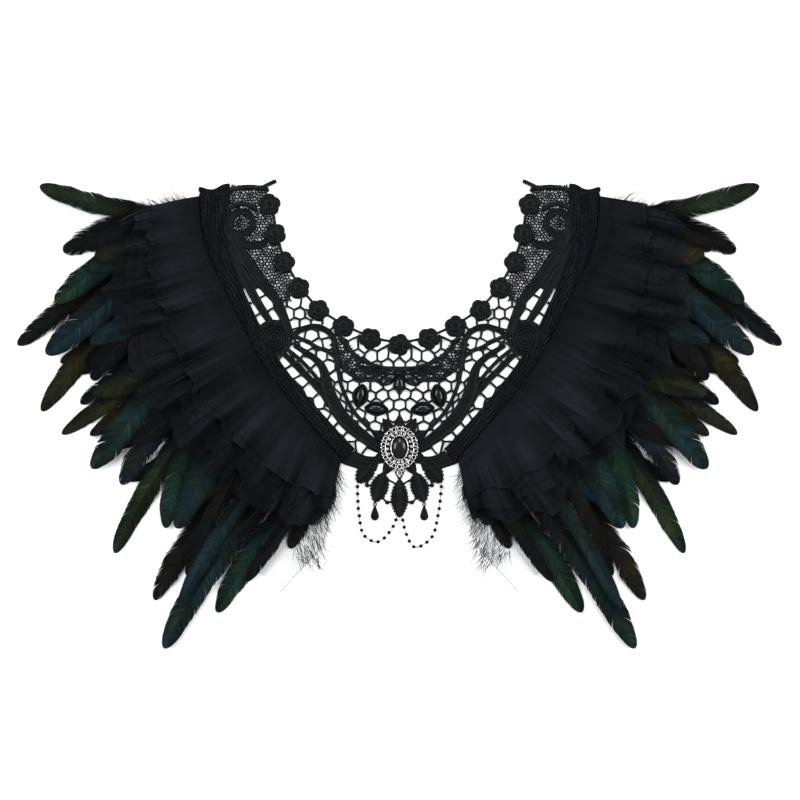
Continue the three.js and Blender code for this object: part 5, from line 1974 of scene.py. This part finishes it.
class CAPE_OT_drops(bpy.types.Operator):
    """Builds the two faceted drops, each hung from a ring"""

    bl_idname = "cape.drops"
    bl_label = "Drops"

    def execute(self, context):
        jet = material("drop_jet", gem_material, tuple(colours().jet), 0.42, 0.045)
        wire = material("black_wire", gem_material, tuple(colours().jet), 0.5, 0.05)
        profile = np.array(DROP_PROFILE)
        for name, (x, y) in DROPS.items():
            gather = Gather()
            mesh, row, column = lattice(DROP_SIDES, len(profile) - 1)
            along, half, z = profile[column.astype(int)].T
            a = 2 * np.pi * row / DROP_SIDES + np.where(column % 2 == 1, np.pi / DROP_SIDES, 0)
            across = x + DROP_STRETCH["across"] * half * np.cos(a)
            down_it = y + DROP_STRETCH["shift"] + DROP_STRETCH["along"] * along
            gather.add(mesh, np.stack([across, down_it, z + half * np.sin(a)], 1), slot=0)
            ring = ring_line(x, y + 7.0, 2.0, 1.4, 1.6, 16)
            link = np.array([[x, y + 5.0, 2.2], [x, y + 7.2, 1.8], [x, y + 8.3, 1.5]])
            for wire_line, radius in ((ring, 0.42), (link, 0.45)):
                add_threads(gather, [wire_line], radius, sides=1, slot=1)
            obj = gather.object(name + "_cut", [jet, wire], faceted=(0,))
            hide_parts(name)
        return {"FINISHED"}


class CAPE_OT_ties(bpy.types.Operator):
    """Builds the rolled tie ends at the shoulder corners of the neckline"""

    bl_idname = "cape.ties"
    bl_label = "Tie ends"

    def execute(self, context):
        thread = material("black_lace", lace_material, tuple(colours().lace))
        for hand, side in ((1, "_left"), (-1, "_right")):
            gather = Gather()
            rows, around = 26, 16
            mesh, row, column = lattice(rows, around)
            u = row / rows
            a = 2 * np.pi * column / around
            place, across = spline(TIE_PATH, u), along_and_side(TIE_PATH, u)[1]
            end = np.sqrt(np.clip(1 - np.clip(1 - np.minimum(u, 1 - u) / 0.12, 0, 1) ** 2, 0, 1))
            radius = TIE_RADIUS * end * (1 + 0.09 * np.sin(3 * a + 9 * u))
            flat = place + across * (radius * np.cos(a))[:, None]
            z = TIE_LEVEL + radius * np.sin(a)
            gather.add(mesh, with_height(flat, z), uv=np.stack([u * 9, a * 1.5], 1))
            obj = gather.object("tie_roll" + side, [thread], hand=hand)
            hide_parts("tie_end" + side)
        return {"FINISHED"}


class CAPE_PT_panel(bpy.types.Panel):
    """Lists the cape's steps, sizes and colours"""

    bl_label = "Feather cape"
    bl_idname = "CAPE_PT_panel"
    bl_space_type = "VIEW_3D"
    bl_region_type = "UI"
    bl_category = "Feather cape"

    def draw(self, context):
        layout = self.layout
        for operator in OPERATORS:
            layout.operator(operator.bl_idname)
        for group in (context.scene.cape_sizes, context.scene.cape_colours):
            box = layout.box()
            for key in type(group).__annotations__:
                box.prop(group, key)


OPERATORS = (
    CAPE_OT_stage,
    CAPE_OT_beads,
    CAPE_OT_lace,
    CAPE_OT_net,
    CAPE_OT_feathers,
    CAPE_OT_brooch,
    CAPE_OT_stones,
    CAPE_OT_drops,
    CAPE_OT_ties,
)
CLASSES = (CapeSizes, CapeColours, *OPERATORS, CAPE_PT_panel)


def register():
    """Adds the panel, its operators and its values."""
    for made in CLASSES:
        bpy.utils.register_class(made)
    bpy.types.Scene.cape_sizes = bpy.props.PointerProperty(type=CapeSizes)
    bpy.types.Scene.cape_colours = bpy.props.PointerProperty(type=CapeColours)


def unregister():
    """Takes away what register has added."""
    del bpy.types.Scene.cape_colours
    del bpy.types.Scene.cape_sizes
    for made in reversed(CLASSES):
        bpy.utils.unregister_class(made)


def main():
    """Builds the cape."""
    register()
    bpy.ops.cape.stage()
    bpy.ops.cape.beads()
    bpy.ops.cape.lace()
    bpy.ops.cape.net()
    bpy.ops.cape.feathers()
    bpy.ops.cape.brooch()
    bpy.ops.cape.stones()
    bpy.ops.cape.drops()
    bpy.ops.cape.ties()
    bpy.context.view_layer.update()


if __name__ == "__main__":
    main()
